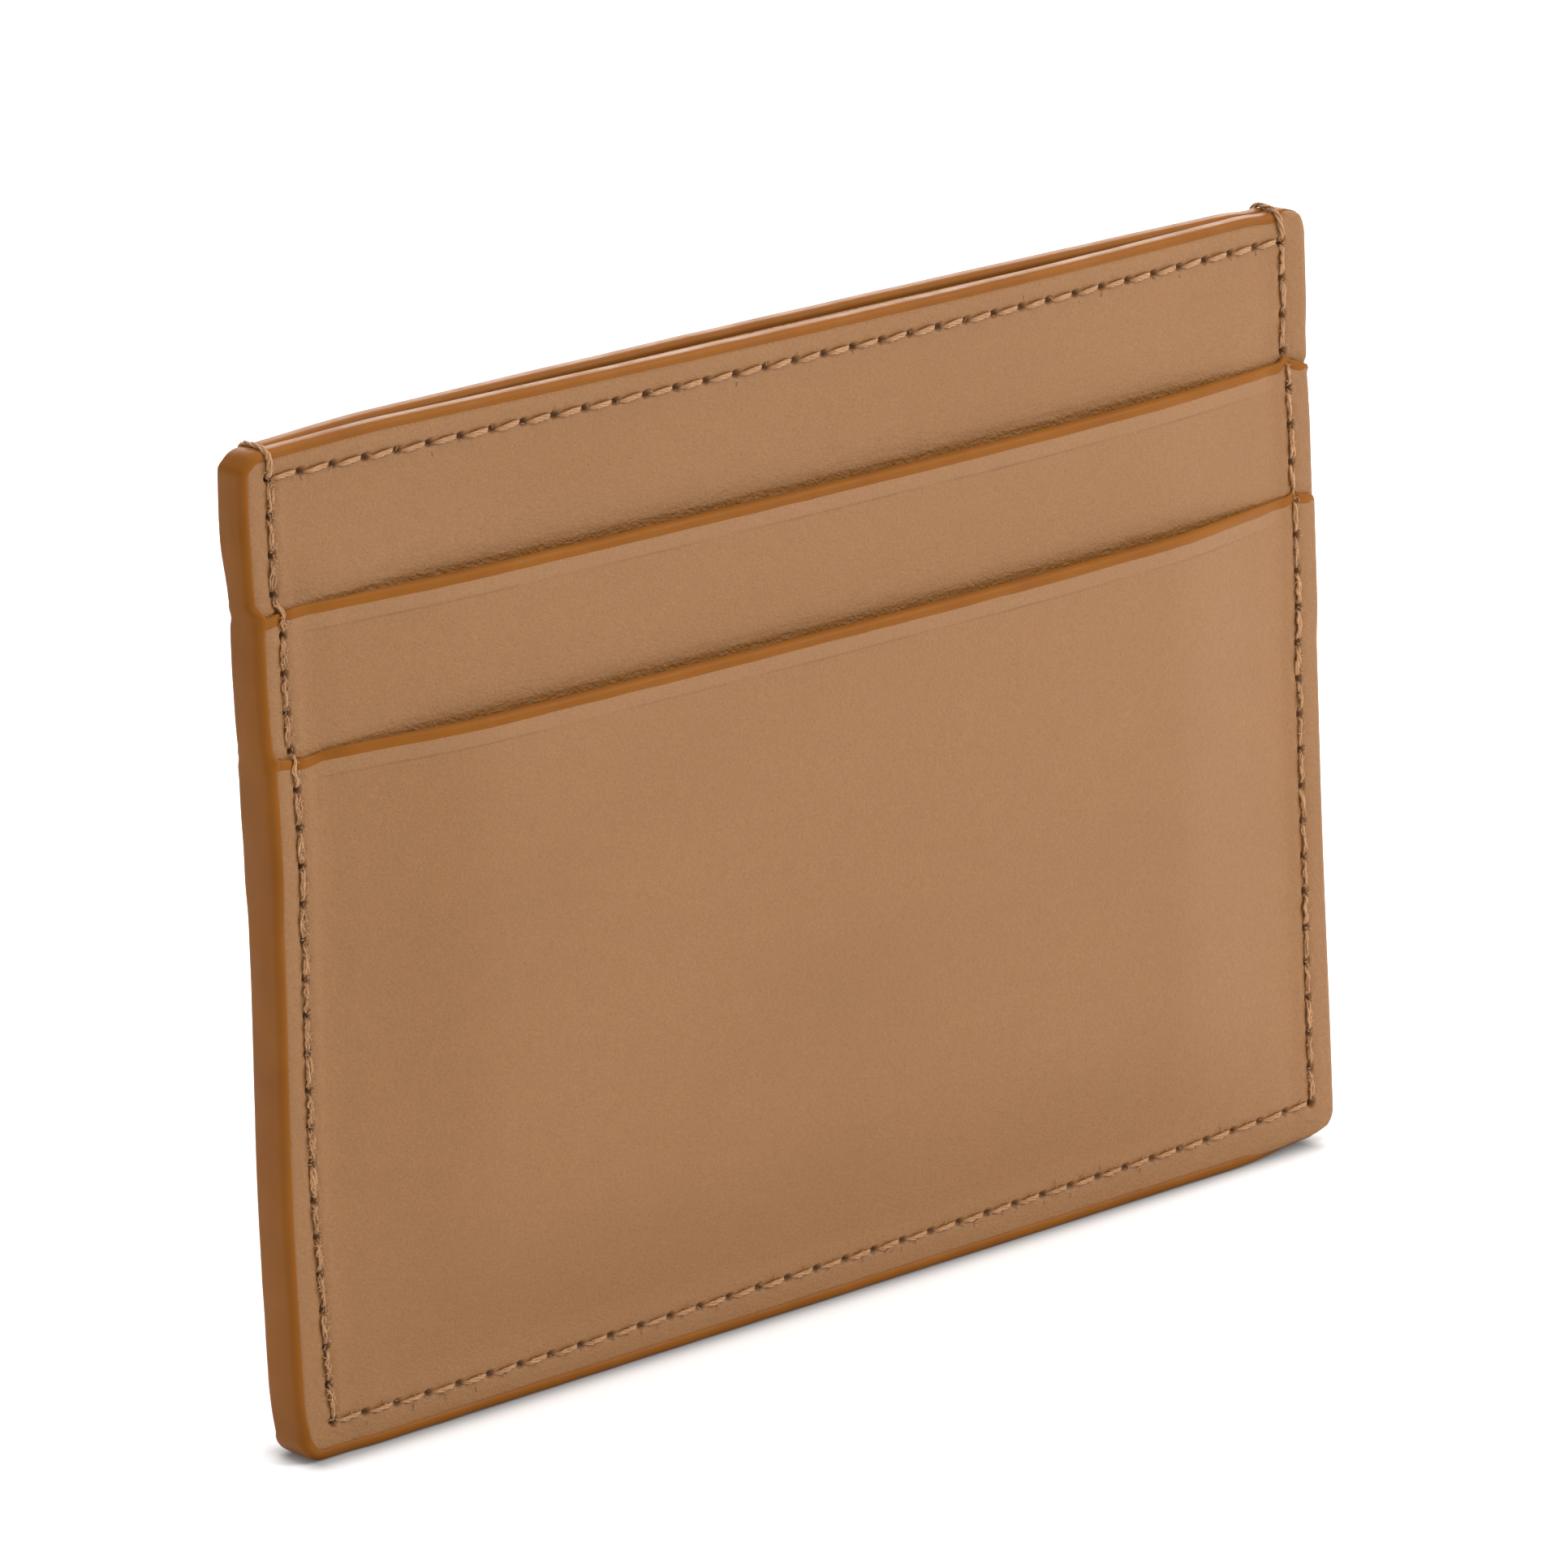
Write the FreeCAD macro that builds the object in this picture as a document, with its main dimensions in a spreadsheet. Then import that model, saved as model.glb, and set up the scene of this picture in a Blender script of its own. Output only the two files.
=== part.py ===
import FreeCAD, Part
import math
import os
import Sketcher

# Flat leather card holder, in millimetres.
#
# X runs along the width, Y through the thickness (the front face looks along -Y)
# and Z up the height. The origin is the middle of the bottom edge, on which the
# holder stands. Both faces are built alike: SIDES gives the sign of Y of each.
#
# Heights of the layers above the middle plane are called levels. Every leather
# sheet lies low in its stitched margin, where it is skived thin, and rises over a
# short shoulder to its field, where the card slots are open.

DIMENSIONS = [
    ("width", 102.0, "overall width"),
    ("height", 75.0, "overall height"),
    ("corner_radius", 3.0, "outer radius of the two bottom corners"),
    ("paint", 0.6, "edge paint on the sides and the bottom"),
    ("bead", 0.5, "edge paint along a pocket mouth"),
    ("margin", 4.5, "stitched margin, from the outer edge"),
    ("shoulder", 6.0, "run over which a sheet rises from margin to field"),
    ("rise_top", 13.0, "height at which the bottom shoulder ends"),
    ("upper_mouth", 63.2, "height of the upper pocket mouth"),
    ("lower_mouth", 52.7, "height of the lower pocket mouth"),
    ("arm_bottom", 44.0, "lower edge of the arms of the upper pocket"),
    ("arm_ramp", 4.0, "height over which the lower pocket climbs onto the arms"),
    ("centre_glue", 0.1, "cement between the two halves"),
    ("pocket_glue", 0.05, "cement under a pocket"),
    ("glue_inset", 1.0, "cement line kept in from the cut edge"),
    ("body_lining", 0.55, "lining of a body panel"),
    ("body_leather", 0.95, "leather of a body panel"),
    ("pocket_lining", 0.2, "lining of a pocket"),
    ("pocket_leather", 0.7, "leather of a pocket"),
    ("upper_skived", 0.4, "upper pocket leather in the margin"),
    ("lower_skived", 0.45, "lower pocket leather in the margin"),
    ("lower_on_arm", 0.2, "lower pocket leather where it lies on an arm"),
    ("centre_bow", 0.6, "how far each half bows out from the middle pocket"),
    ("slot_gap", 0.3, "clear gap of a card slot"),
    ("stem_glue", 3.0, "height of the cement line along the foot of the stem"),
    ("seam_inset", 2.4, "side and top stitch lines, from the outer edge"),
    ("bottom_inset", 3.1, "bottom stitch line, from the outer edge"),
    ("thread", 0.55, "thread width"),
    ("thread_rise", 0.26, "how far a stitch stands above the leather"),
    ("stitch_gap", 0.3, "leather seen between a stitch and its hole"),
    ("left_stitches", 25, "stitches in the left seam"),
    ("right_stitches", 24, "stitches in the right seam"),
    ("bottom_stitches", 34, "stitches in the bottom seam"),
    ("top_stitches", 35, "stitches in each top seam"),
]

SIDES = {"front": -1, "back": 1}

doc = FreeCAD.newDocument("CardHolder")
sheet = doc.addObject("Spreadsheet::Sheet", "Dimensions")
for row, (alias, number, note) in enumerate(DIMENSIONS, start=1):
    sheet.set(f"A{row}", alias)
    sheet.set(f"B{row}", str(number))
    sheet.set(f"C{row}", note)
    sheet.setAlias(f"B{row}", alias)
doc.recompute()

sub_parts = []


def cell(alias):
    """The expression that reads one cell."""
    return f"Dimensions.{alias}"


def total(*terms):
    """The expression for a sum of expressions."""
    return "(" + " + ".join(terms) + ")"


def minus(first, *others):
    """The expression for a difference of expressions."""
    return "(" + " - ".join((first,) + others) + ")"


def value(expression):
    """The number that an expression gives now."""
    return float(sheet.evalExpression(expression))


# Distances across the width, from the middle.
HALF_WIDTH = f"({cell('width')} / 2)"
LEATHER_EDGE = minus(HALF_WIDTH, cell("paint"))
MARGIN_EDGE = minus(HALF_WIDTH, cell("margin"))
FIELD_EDGE = minus(MARGIN_EDGE, cell("shoulder"))
CORNER_CENTRE = minus(HALF_WIDTH, cell("corner_radius"))

# Heights.
SHEET_TOP = minus(cell("height"), cell("paint"))
UPPER_TOP = minus(cell("upper_mouth"), cell("bead"))
LOWER_TOP = minus(cell("lower_mouth"), cell("bead"))
RAMP_BOTTOM = minus(cell("arm_bottom"), cell("arm_ramp"))

# Levels in the margin.
LINING_BACK = f"({cell('centre_glue')} / 2)"
BODY_BACK = total(LINING_BACK, cell("body_lining"))
BODY_FRONT = total(BODY_BACK, cell("body_leather"))
POCKET_BACK = total(BODY_FRONT, cell("pocket_glue"))
UPPER_FRONT = total(POCKET_BACK, cell("upper_skived"))
LOWER_FRONT = total(POCKET_BACK, cell("lower_skived"))
ON_ARM_BACK = total(UPPER_FRONT, cell("pocket_glue"))
ON_ARM_FRONT = total(ON_ARM_BACK, cell("lower_on_arm"))

# Levels in the field.
LINING_BACK_FIELD = total(LINING_BACK, cell("centre_bow"))
BODY_BACK_FIELD = total(BODY_BACK, cell("centre_bow"))
BODY_FRONT_FIELD = total(BODY_FRONT, cell("centre_bow"))
UPPER_LINING_FIELD = total(BODY_FRONT_FIELD, cell("slot_gap"))
UPPER_BACK_FIELD = total(UPPER_LINING_FIELD, cell("pocket_lining"))
UPPER_FRONT_FIELD = total(UPPER_BACK_FIELD, cell("pocket_leather"))
LOWER_LINING_FIELD = total(UPPER_FRONT_FIELD, cell("slot_gap"))
LOWER_BACK_FIELD = total(LOWER_LINING_FIELD, cell("pocket_lining"))
LOWER_FRONT_FIELD = total(LOWER_BACK_FIELD, cell("pocket_leather"))


def keep(feature, label):
    """Name a finished sub-part, which is then written to its own file."""
    feature.Label = label
    sub_parts.append(feature)
    return feature


def new_body(label):
    return keep(doc.addObject("PartDesign::Body", "Body_" + label), label)


def polygon_sketch(body, name, role, points, offset="0", arcs=None):
    """A closed outline on one of the body's origin planes.

    points is a list of pairs of expressions in the plane's own axes, and offset
    is how far the sketch stands off the plane, along its normal. arcs turns a side
    of the outline, by its number, into an arc: its centre and its radius.
    """
    arcs = arcs or {}
    sketch = body.newObject("Sketcher::SketchObject", name)
    plane = next(item for item in body.Origin.OriginFeatures if item.Role == role)
    sketch.AttachmentSupport = [(plane, "")]
    sketch.MapMode = "FlatFace"
    sketch.setExpression("AttachmentOffset.Base.z", offset)
    corners = [FreeCAD.Vector(value(across), value(along), 0) for across, along in points]
    count = len(corners)
    ends = []
    for index, corner in enumerate(corners):
        following = corners[(index + 1) % count]
        ends.append((1, 2))
        if index in arcs:
            (across, along), radius = arcs[index]
            centre = FreeCAD.Vector(value(across), value(along), 0)
            bulge = ((corner + following) * 0.5 - centre).normalize() * value(radius)
            sketch.addGeometry(Part.Arc(corner, centre + bulge, following), False)
            if (corner - centre).cross(following - centre).z < 0:
                ends[index] = (2, 1)
        else:
            sketch.addGeometry(Part.LineSegment(corner, following), False)
    for index in range(count):
        after = (index + 1) % count
        sketch.addConstraint(
            Sketcher.Constraint("Coincident", index, ends[index][1], after, ends[after][0]))
    for index, (across, along) in enumerate(points):
        for kind, expression in (("DistanceX", across), ("DistanceY", along)):
            constraint = Sketcher.Constraint(kind, -1, 1, index, ends[index][0], value(expression))
            number = sketch.addConstraint(constraint)
            sketch.setExpression(f"Constraints[{number}]", expression)
    for index, (_, radius) in arcs.items():
        number = sketch.addConstraint(Sketcher.Constraint("Radius", index, value(radius)))
        sketch.setExpression(f"Constraints[{number}]", radius)
    return sketch


def on_side(side, level):
    """The Y of a level on the front (-1) or the back (1)."""
    return f"{side} * {level}"


def section(side, back, back_field, front_field, front):
    """The outline of a sheet seen from above: margins, shoulders and field."""
    steps = [
        (LEATHER_EDGE, back, front),
        (MARGIN_EDGE, back, front),
        (FIELD_EDGE, back_field, front_field),
    ]
    right_back = [(f"{across}", on_side(side, level)) for across, level, _ in steps]
    right_front = [(f"{across}", on_side(side, level)) for across, _, level in steps]
    left_back = [(f"-1 * {across}", along) for across, along in right_back]
    left_front = [(f"-1 * {across}", along) for across, along in right_front]
    return left_back + right_back[::-1] + right_front + left_front[::-1]


def loft_sheet(label, sections):
    """A formed sheet through sections, each a pair of height and outline."""
    body = new_body(label)
    sketches = []
    for index, (height, outline) in enumerate(sections):
        name = f"{label}_section_{index}"
        sketches.append(polygon_sketch(body, name, "XY_Plane", outline, height))
    loft = body.newObject("PartDesign::AdditiveLoft", label + "_loft")
    loft.Profile = sketches[0]
    loft.Sections = sketches[1:]
    loft.Ruled = True
    doc.recompute()
    return body, loft


def round_edges(body, base, label, radius, chosen):
    """Fillet the edges of base for which chosen(edge) is true."""
    names = [f"Edge{i}" for i, edge in enumerate(base.Shape.Edges, start=1) if chosen(edge)]
    fillet = body.newObject("PartDesign::Fillet", label + "_fillet")
    fillet.Base = (base, names)
    fillet.setExpression("Radius", radius)
    doc.recompute()
    return fillet


def runs_through(edge, across, height):
    """True for an edge along Y that stands at plus or minus across and at height."""
    return all(
        math.isclose(abs(vertex.X), across, abs_tol=1e-4)
        and math.isclose(vertex.Z, height, abs_tol=1e-4)
        for vertex in edge.Vertexes
    )


def round_sheet_feet(body, base, label):
    """Round the two bottom corners of a sheet, concentric with the outer corners."""
    across = value(LEATHER_EDGE)
    height = value(cell("paint"))
    radius = minus(cell("corner_radius"), cell("paint"))
    round_edges(body, base, label, radius, lambda edge: runs_through(edge, across, height))


def padded(body, label, sketch, length, reverse=False):
    pad = body.newObject("PartDesign::Pad", label)
    pad.Profile = sketch
    pad.setExpression("Length", length)
    pad.Reversed = reverse
    doc.recompute()
    return pad


def box(name, low, size):
    """A Part::Box from the expressions of its low corner and of its size."""
    block = doc.addObject("Part::Box", name)
    for key, expression in zip(("Length", "Width", "Height"), size):
        block.setExpression(key, expression)
    for axis, expression in zip("xyz", low):
        block.setExpression(f"Placement.Base.{axis}", expression)
    return block


def layer_box(name, side, left, size_across, foot, size_up, level, thickness):
    """A flat box of one layer on one face."""
    near = on_side(side, level) if side > 0 else f"-1 * {total(level, thickness)}"
    return box(name, (left, near, foot), (size_across, thickness, size_up))


# ---------------------------------------------------------------- leather and linings


def body_half(side_name, side):
    """The full-height panel of one face, its lining and the paint on their top edge."""
    layers = (
        (f"{side_name}_body_lining", LINING_BACK, LINING_BACK_FIELD, BODY_BACK_FIELD, BODY_BACK),
        (f"{side_name}_body_panel", BODY_BACK, BODY_BACK_FIELD, BODY_FRONT_FIELD, BODY_FRONT),
    )
    for label, back, back_field, front_field, front in layers:
        flat = section(side, back, back, front, front)
        formed = section(side, back, back_field, front_field, front)
        body, loft = loft_sheet(label, (
            (cell("paint"), flat),
            (cell("margin"), flat),
            (cell("rise_top"), formed),
            (SHEET_TOP, formed),
        ))
        round_sheet_feet(body, loft, label)

    label = f"{side_name}_top_edge_paint"
    body = new_body(label)
    outline = section(side, LINING_BACK, LINING_BACK_FIELD, BODY_FRONT_FIELD, BODY_FRONT)
    sketch = polygon_sketch(body, label + "_outline", "XY_Plane", outline, SHEET_TOP)
    padded(body, label + "_pad", sketch, cell("paint"))


def flat_lining(label, side, top, level):
    """The lining of a pocket: a flat sheet behind the field of the leather."""
    body = new_body(label)
    y_back = on_side(side, level)
    y_front = on_side(side, total(level, cell("pocket_lining")))
    left = f"-1 * {FIELD_EDGE}"
    outline = [(left, y_back), (FIELD_EDGE, y_back), (FIELD_EDGE, y_front), (left, y_front)]
    sketch = polygon_sketch(body, label + "_outline", "XY_Plane", outline, cell("rise_top"))
    padded(body, label + "_pad", sketch, minus(top, cell("rise_top")))


def mouth_paint(label, side, top, back, back_field, front_field, front):
    """The bead of paint on the cut edge of a pocket mouth."""
    body = new_body(label)
    outline = section(side, back, back_field, front_field, front)
    sketch = polygon_sketch(body, label + "_outline", "XY_Plane", outline, top)
    padded(body, label + "_pad", sketch, cell("bead"))


def upper_pocket(side_name, side):
    """A T-shaped pocket: arms held in both seams, and a stem inside them."""
    label = f"{side_name}_upper_pocket"
    body = new_body(label)
    arms = section(side, POCKET_BACK, UPPER_BACK_FIELD, UPPER_FRONT_FIELD, UPPER_FRONT)
    sketch = polygon_sketch(body, label + "_arms", "XY_Plane", arms, cell("arm_bottom"))
    padded(body, label + "_arms_pad", sketch, minus(UPPER_TOP, cell("arm_bottom")))
    y_back = on_side(side, UPPER_BACK_FIELD)
    y_front = on_side(side, UPPER_FRONT_FIELD)
    left = f"-1 * {FIELD_EDGE}"
    stem = [(left, y_back), (FIELD_EDGE, y_back), (FIELD_EDGE, y_front), (left, y_front)]
    sketch = polygon_sketch(body, label + "_stem", "XY_Plane", stem, cell("rise_top"))
    padded(body, label + "_stem_pad", sketch, minus(cell("arm_bottom"), cell("rise_top")))

    flat_lining(f"{side_name}_upper_pocket_lining", side, UPPER_TOP, UPPER_LINING_FIELD)
    mouth_paint(
        f"{side_name}_upper_mouth_paint", side, UPPER_TOP,
        POCKET_BACK, UPPER_LINING_FIELD, UPPER_FRONT_FIELD, UPPER_FRONT,
    )


def lower_pocket(side_name, side):
    """The outermost pocket, held in the bottom and side seams."""
    label = f"{side_name}_lower_pocket"
    flat = section(side, POCKET_BACK, POCKET_BACK, LOWER_FRONT, LOWER_FRONT)
    formed = section(side, POCKET_BACK, LOWER_BACK_FIELD, LOWER_FRONT_FIELD, LOWER_FRONT)
    on_arm = section(side, ON_ARM_BACK, LOWER_BACK_FIELD, LOWER_FRONT_FIELD, ON_ARM_FRONT)
    body, loft = loft_sheet(label, (
        (cell("paint"), flat),
        (cell("margin"), flat),
        (cell("rise_top"), formed),
        (RAMP_BOTTOM, formed),
        (cell("arm_bottom"), on_arm),
        (LOWER_TOP, on_arm),
    ))
    round_sheet_feet(body, loft, label)

    flat_lining(f"{side_name}_lower_pocket_lining", side, LOWER_TOP, LOWER_LINING_FIELD)
    mouth_paint(
        f"{side_name}_lower_mouth_paint", side, LOWER_TOP,
        ON_ARM_BACK, LOWER_LINING_FIELD, LOWER_FRONT_FIELD, ON_ARM_FRONT,
    )


# ---------------------------------------------------------------- cement lines

STRIP_OUTER = minus(LEATHER_EDGE, cell("glue_inset"))
STRIP_WIDTH = minus(STRIP_OUTER, MARGIN_EDGE)
STRIP_FOOT = total(cell("paint"), cell("glue_inset"))


def glue_strips(name, side, foot, top, level, thickness):
    """A cement strip in the left margin and one in the right margin."""
    strips = []
    for hand, left in (("left", f"-1 * {STRIP_OUTER}"), ("right", MARGIN_EDGE)):
        strip_name = f"{name}_{hand}"
        height = minus(top, foot)
        strips.append(layer_box(strip_name, side, left, STRIP_WIDTH, foot, height, level, thickness))
    return strips


def glue_foot(name, side, level, thickness):
    """The cement strip along the bottom margin, between the two upright ones."""
    across = f"2 * {MARGIN_EDGE}"
    height = minus(cell("margin"), STRIP_FOOT)
    return layer_box(name, side, f"-1 * {MARGIN_EDGE}", across, STRIP_FOOT, height, level, thickness)


def joined(label, pieces):
    """Strips that touch, fused into one solid."""
    fuse = doc.addObject("Part::MultiFuse", "Fuse_" + label)
    fuse.Shapes = pieces
    return fuse


def grouped(label, pieces):
    """Separate solids of one cement layer, in one sub-part."""
    compound = doc.addObject("Part::Compound", "Group_" + label)
    compound.Links = pieces
    return keep(compound, label)


def centre_cement():
    """The U-shaped cement line that joins the two halves round the middle pocket."""
    name = "centre_glue"
    level = f"(-1 * {LINING_BACK})"
    thickness = cell("centre_glue")
    pieces = glue_strips(name, 1, STRIP_FOOT, SHEET_TOP, level, thickness)
    pieces.append(glue_foot(name + "_foot", 1, level, thickness))
    keep(joined(name, pieces), name)


def pocket_cement(side_name, side):
    """The cement under the two pockets of one face."""
    thickness = cell("pocket_glue")
    label = f"{side_name}_upper_glue"
    strips = glue_strips(label, side, cell("arm_bottom"), UPPER_TOP, BODY_FRONT, thickness)
    foot = layer_box(
        label + "_foot", side, f"-1 * {FIELD_EDGE}", f"2 * {FIELD_EDGE}",
        cell("rise_top"), cell("stem_glue"), BODY_FRONT_FIELD, cell("slot_gap"),
    )
    grouped(label, strips + [foot])

    label = f"{side_name}_lower_glue"
    low_strips = glue_strips(label + "_low", side, STRIP_FOOT, RAMP_BOTTOM, BODY_FRONT, thickness)
    low_strips.append(glue_foot(label + "_foot", side, BODY_FRONT, thickness))
    high_strips = glue_strips(
        label + "_high", side, cell("arm_bottom"), LOWER_TOP, UPPER_FRONT, thickness)
    grouped(label, [joined(label, low_strips)] + high_strips)


# ---------------------------------------------------------------- paint round the outside


def side_paint(hand, direction):
    """The painted edge of the left (-1) or right (1) side, with its bottom corner.

    It steps at each mouth, where a pocket ends.
    """
    label = f"{hand}_edge_paint"
    body = new_body(label)
    radius = cell("corner_radius")
    steps = [
        (LOWER_FRONT, radius),
        (LOWER_FRONT, RAMP_BOTTOM),
        (ON_ARM_FRONT, cell("arm_bottom")),
        (ON_ARM_FRONT, cell("lower_mouth")),
        (UPPER_FRONT, cell("lower_mouth")),
        (UPPER_FRONT, cell("upper_mouth")),
        (BODY_FRONT, cell("upper_mouth")),
        (BODY_FRONT, cell("height")),
    ]
    front = [(f"-1 * {level}", height) for level, height in steps]
    back = [(level, height) for level, height in steps[::-1]]
    offset = LEATHER_EDGE if direction > 0 else f"-1 * {LEATHER_EDGE}"
    sketch = polygon_sketch(body, label + "_outline", "YZ_Plane", front + back, offset)
    padded(body, label + "_pad", sketch, cell("paint"), reverse=direction < 0)

    outer, inner, centre = (
        f"{direction} * {across}" for across in (HALF_WIDTH, LEATHER_EDGE, CORNER_CENTRE))
    corner = [(centre, "0"), (outer, radius), (inner, radius), (centre, cell("paint"))]
    arcs = {
        0: ((centre, radius), radius),
        2: ((centre, radius), minus(radius, cell("paint"))),
    }
    sketch = polygon_sketch(body, label + "_corner", "XZ_Plane", corner, arcs=arcs)
    pad = body.newObject("PartDesign::Pad", label + "_corner_pad")
    pad.Profile = sketch
    pad.setExpression("Length", f"2 * {LOWER_FRONT}")
    pad.Midplane = True
    doc.recompute()


def bottom_paint():
    """The painted bottom edge between the corners, on which the holder stands."""
    thickness = cell("paint")
    keep(box(
        "Box_bottom_edge_paint",
        (f"-1 * {CORNER_CENTRE}", f"-1 * {LOWER_FRONT}", "0"),
        (f"2 * {CORNER_CENTRE}", f"2 * {LOWER_FRONT}", thickness),
    ), "bottom_edge_paint")


# ---------------------------------------------------------------- thread


def margin_level(height):
    """The level of the outer leather face in the side margins at a height."""
    low, high = value(LOWER_FRONT), value(ON_ARM_FRONT)
    ramp_bottom, ramp_top = value(RAMP_BOTTOM), value(cell("arm_bottom"))
    if height > value(cell("upper_mouth")):
        return value(BODY_FRONT)
    if height > value(cell("lower_mouth")):
        return value(UPPER_FRONT)
    if height > ramp_top:
        return high
    if height > ramp_bottom:
        return low + (high - low) * (height - ramp_bottom) / (ramp_top - ramp_bottom)
    return low


def top_level(across, outer):
    """The level of the outer or inner face of a body half near its top edge."""
    margin_edge, field_edge = value(MARGIN_EDGE), value(FIELD_EDGE)
    part_way = (margin_edge - abs(across)) / (margin_edge - field_edge)
    bow = value(cell("centre_bow")) * min(max(part_way, 0), 1)
    return value(BODY_FRONT if outer else LINING_BACK) + bow


def stitch(start, end, outward):
    """One stitch: a bar with a flat foot and a round back, lying on the leather."""
    along = (end - start).normalize()
    gap = value(cell("stitch_gap"))
    first = start + along * gap
    length = (end - start).Length - 2 * gap
    sideways = along.cross(outward) * (value(cell("thread")) / 2)
    crest = first + outward * value(cell("thread_rise"))
    arc = Part.Arc(first - sideways, crest, first + sideways).toShape()
    foot = Part.makeLine(first + sideways, first - sideways)
    return Part.Face(Part.Wire([arc, foot])).extrude(along * length)


def thread(label, stitches):
    """All the stitches that one thread shows on one face, in one sub-part."""
    feature = doc.addObject("Part::Feature", "Thread_" + label)
    feature.Shape = Part.makeCompound(stitches)
    feature.Placement = FreeCAD.Placement()
    keep(feature, label)


def seam_holes():
    """Hole centres (x, z) of the side and bottom seam, from top left to top right."""
    across = value(minus(HALF_WIDTH, cell("seam_inset")))
    foot = value(cell("bottom_inset"))
    top = value(minus(cell("height"), cell("seam_inset")))
    corners = [(-across, top), (-across, foot), (across, foot), (across, top)]
    counts = [int(value(cell(f"{run}_stitches"))) for run in ("left", "bottom", "right")]
    holes = [corners[0]]
    for (x0, z0), (x1, z1), count in zip(corners, corners[1:], counts):
        for step in range(1, count + 1):
            holes.append((x0 + (x1 - x0) * step / count, z0 + (z1 - z0) * step / count))
    return holes


def perimeter_thread(side_name, side):
    """The stitches of the side and bottom seam on one face."""
    outward = FreeCAD.Vector(0, side, 0)
    holes = seam_holes()
    stitches = []
    for (x0, z0), (x1, z1) in zip(holes, holes[1:]):
        level = side * max(margin_level(z0), margin_level((z0 + z1) / 2), margin_level(z1))
        start = FreeCAD.Vector(x0, level, z0)
        end = FreeCAD.Vector(x1, level, z1)
        stitches.append(stitch(start, end, outward))
    thread(f"{side_name}_seam_thread", stitches)


def top_thread(side_name, side, outer):
    """The stitches of a top seam, on the outer leather or on the lining."""
    across = value(minus(HALF_WIDTH, cell("seam_inset")))
    height = value(minus(cell("height"), cell("seam_inset")))
    count = int(value(cell("top_stitches")))
    facing = side if outer else -side
    holes = []
    for step in range(count + 1):
        x = across * (2 * step / count - 1)
        holes.append(FreeCAD.Vector(x, side * top_level(x, outer), height))
    stitches = []
    field_edge = value(FIELD_EDGE)
    for start, end in zip(holes, holes[1:]):
        nearest, farthest = sorted((abs(start.x), abs(end.x)))
        if nearest < field_edge < farthest:
            # Over the brow of the shoulder a stitch lies level with the field.
            start.y = end.y = side * top_level(nearest, outer)
        # The halves are cemented together outside the field, with no room for a stitch.
        if outer or farthest < field_edge:
            normal = (end - start).cross(FreeCAD.Vector(0, 0, 1)).normalize()
            stitches.append(stitch(start, end, normal * math.copysign(1, normal.y * facing)))
    face = "outer" if outer else "inner"
    thread(f"{side_name}_top_thread_{face}", stitches)


def corner_wrap(hand, direction):
    """The loop of thread that ties a top corner, from the last hole over the edge."""
    label = f"{hand}_corner_thread"
    body = new_body(label)
    foot = minus(cell("height"), cell("seam_inset"))
    crest = total(cell("height"), cell("thread_rise"))
    outside = total(BODY_FRONT, cell("thread_rise"))
    loop = [
        (f"-1 * {BODY_FRONT}", foot), (f"-1 * {BODY_FRONT}", cell("height")),
        (BODY_FRONT, cell("height")), (BODY_FRONT, foot),
        (outside, foot), (outside, crest),
        (f"-1 * {outside}", crest), (f"-1 * {outside}", foot),
    ]
    across = minus(HALF_WIDTH, cell("seam_inset"), f"{cell('thread')} / 2")
    if direction < 0:
        across = f"-1 * {total(across, cell('thread'))}"
    sketch = polygon_sketch(body, label + "_outline", "YZ_Plane", loop, across)
    padded(body, label + "_pad", sketch, cell("thread"))


# ---------------------------------------------------------------- assembly

centre_cement()
for side_name, side in SIDES.items():
    body_half(side_name, side)
    upper_pocket(side_name, side)
    lower_pocket(side_name, side)
    pocket_cement(side_name, side)
for hand, direction in (("left", -1), ("right", 1)):
    side_paint(hand, direction)
    corner_wrap(hand, direction)
bottom_paint()
doc.recompute()
for side_name, side in SIDES.items():
    perimeter_thread(side_name, side)
    top_thread(side_name, side, outer=True)
    top_thread(side_name, side, outer=False)
doc.recompute()

for item in doc.Objects:
    if {"Invalid", "Error"} & set(item.State):
        raise RuntimeError(f"{item.Label} did not recompute: {item.State}")
for part in sub_parts:
    if part.Shape.isNull() or not part.Shape.isValid():
        raise RuntimeError(f"{part.Label} has no valid shape")

os.makedirs("parts", exist_ok=True)
for part in sub_parts:
    part.Shape.exportStep(f"parts/{part.Label}.step")
    extent = part.Shape.BoundBox
    print(f"{part.Label:32s} {part.Shape.Volume:9.2f} mm3  {len(part.Shape.Solids):3d} solids"
          f"  Y {extent.YMin:6.2f} {extent.YMax:6.2f}  Z {extent.ZMin:6.2f} {extent.ZMax:6.2f}")
print(len(sub_parts), "sub-parts")
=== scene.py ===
"""A stitched leather card holder: two halves, two pockets on each, painted edges."""

import math
import random

import bmesh
import bpy
import numpy as np
from mathutils import Matrix, Vector


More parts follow.
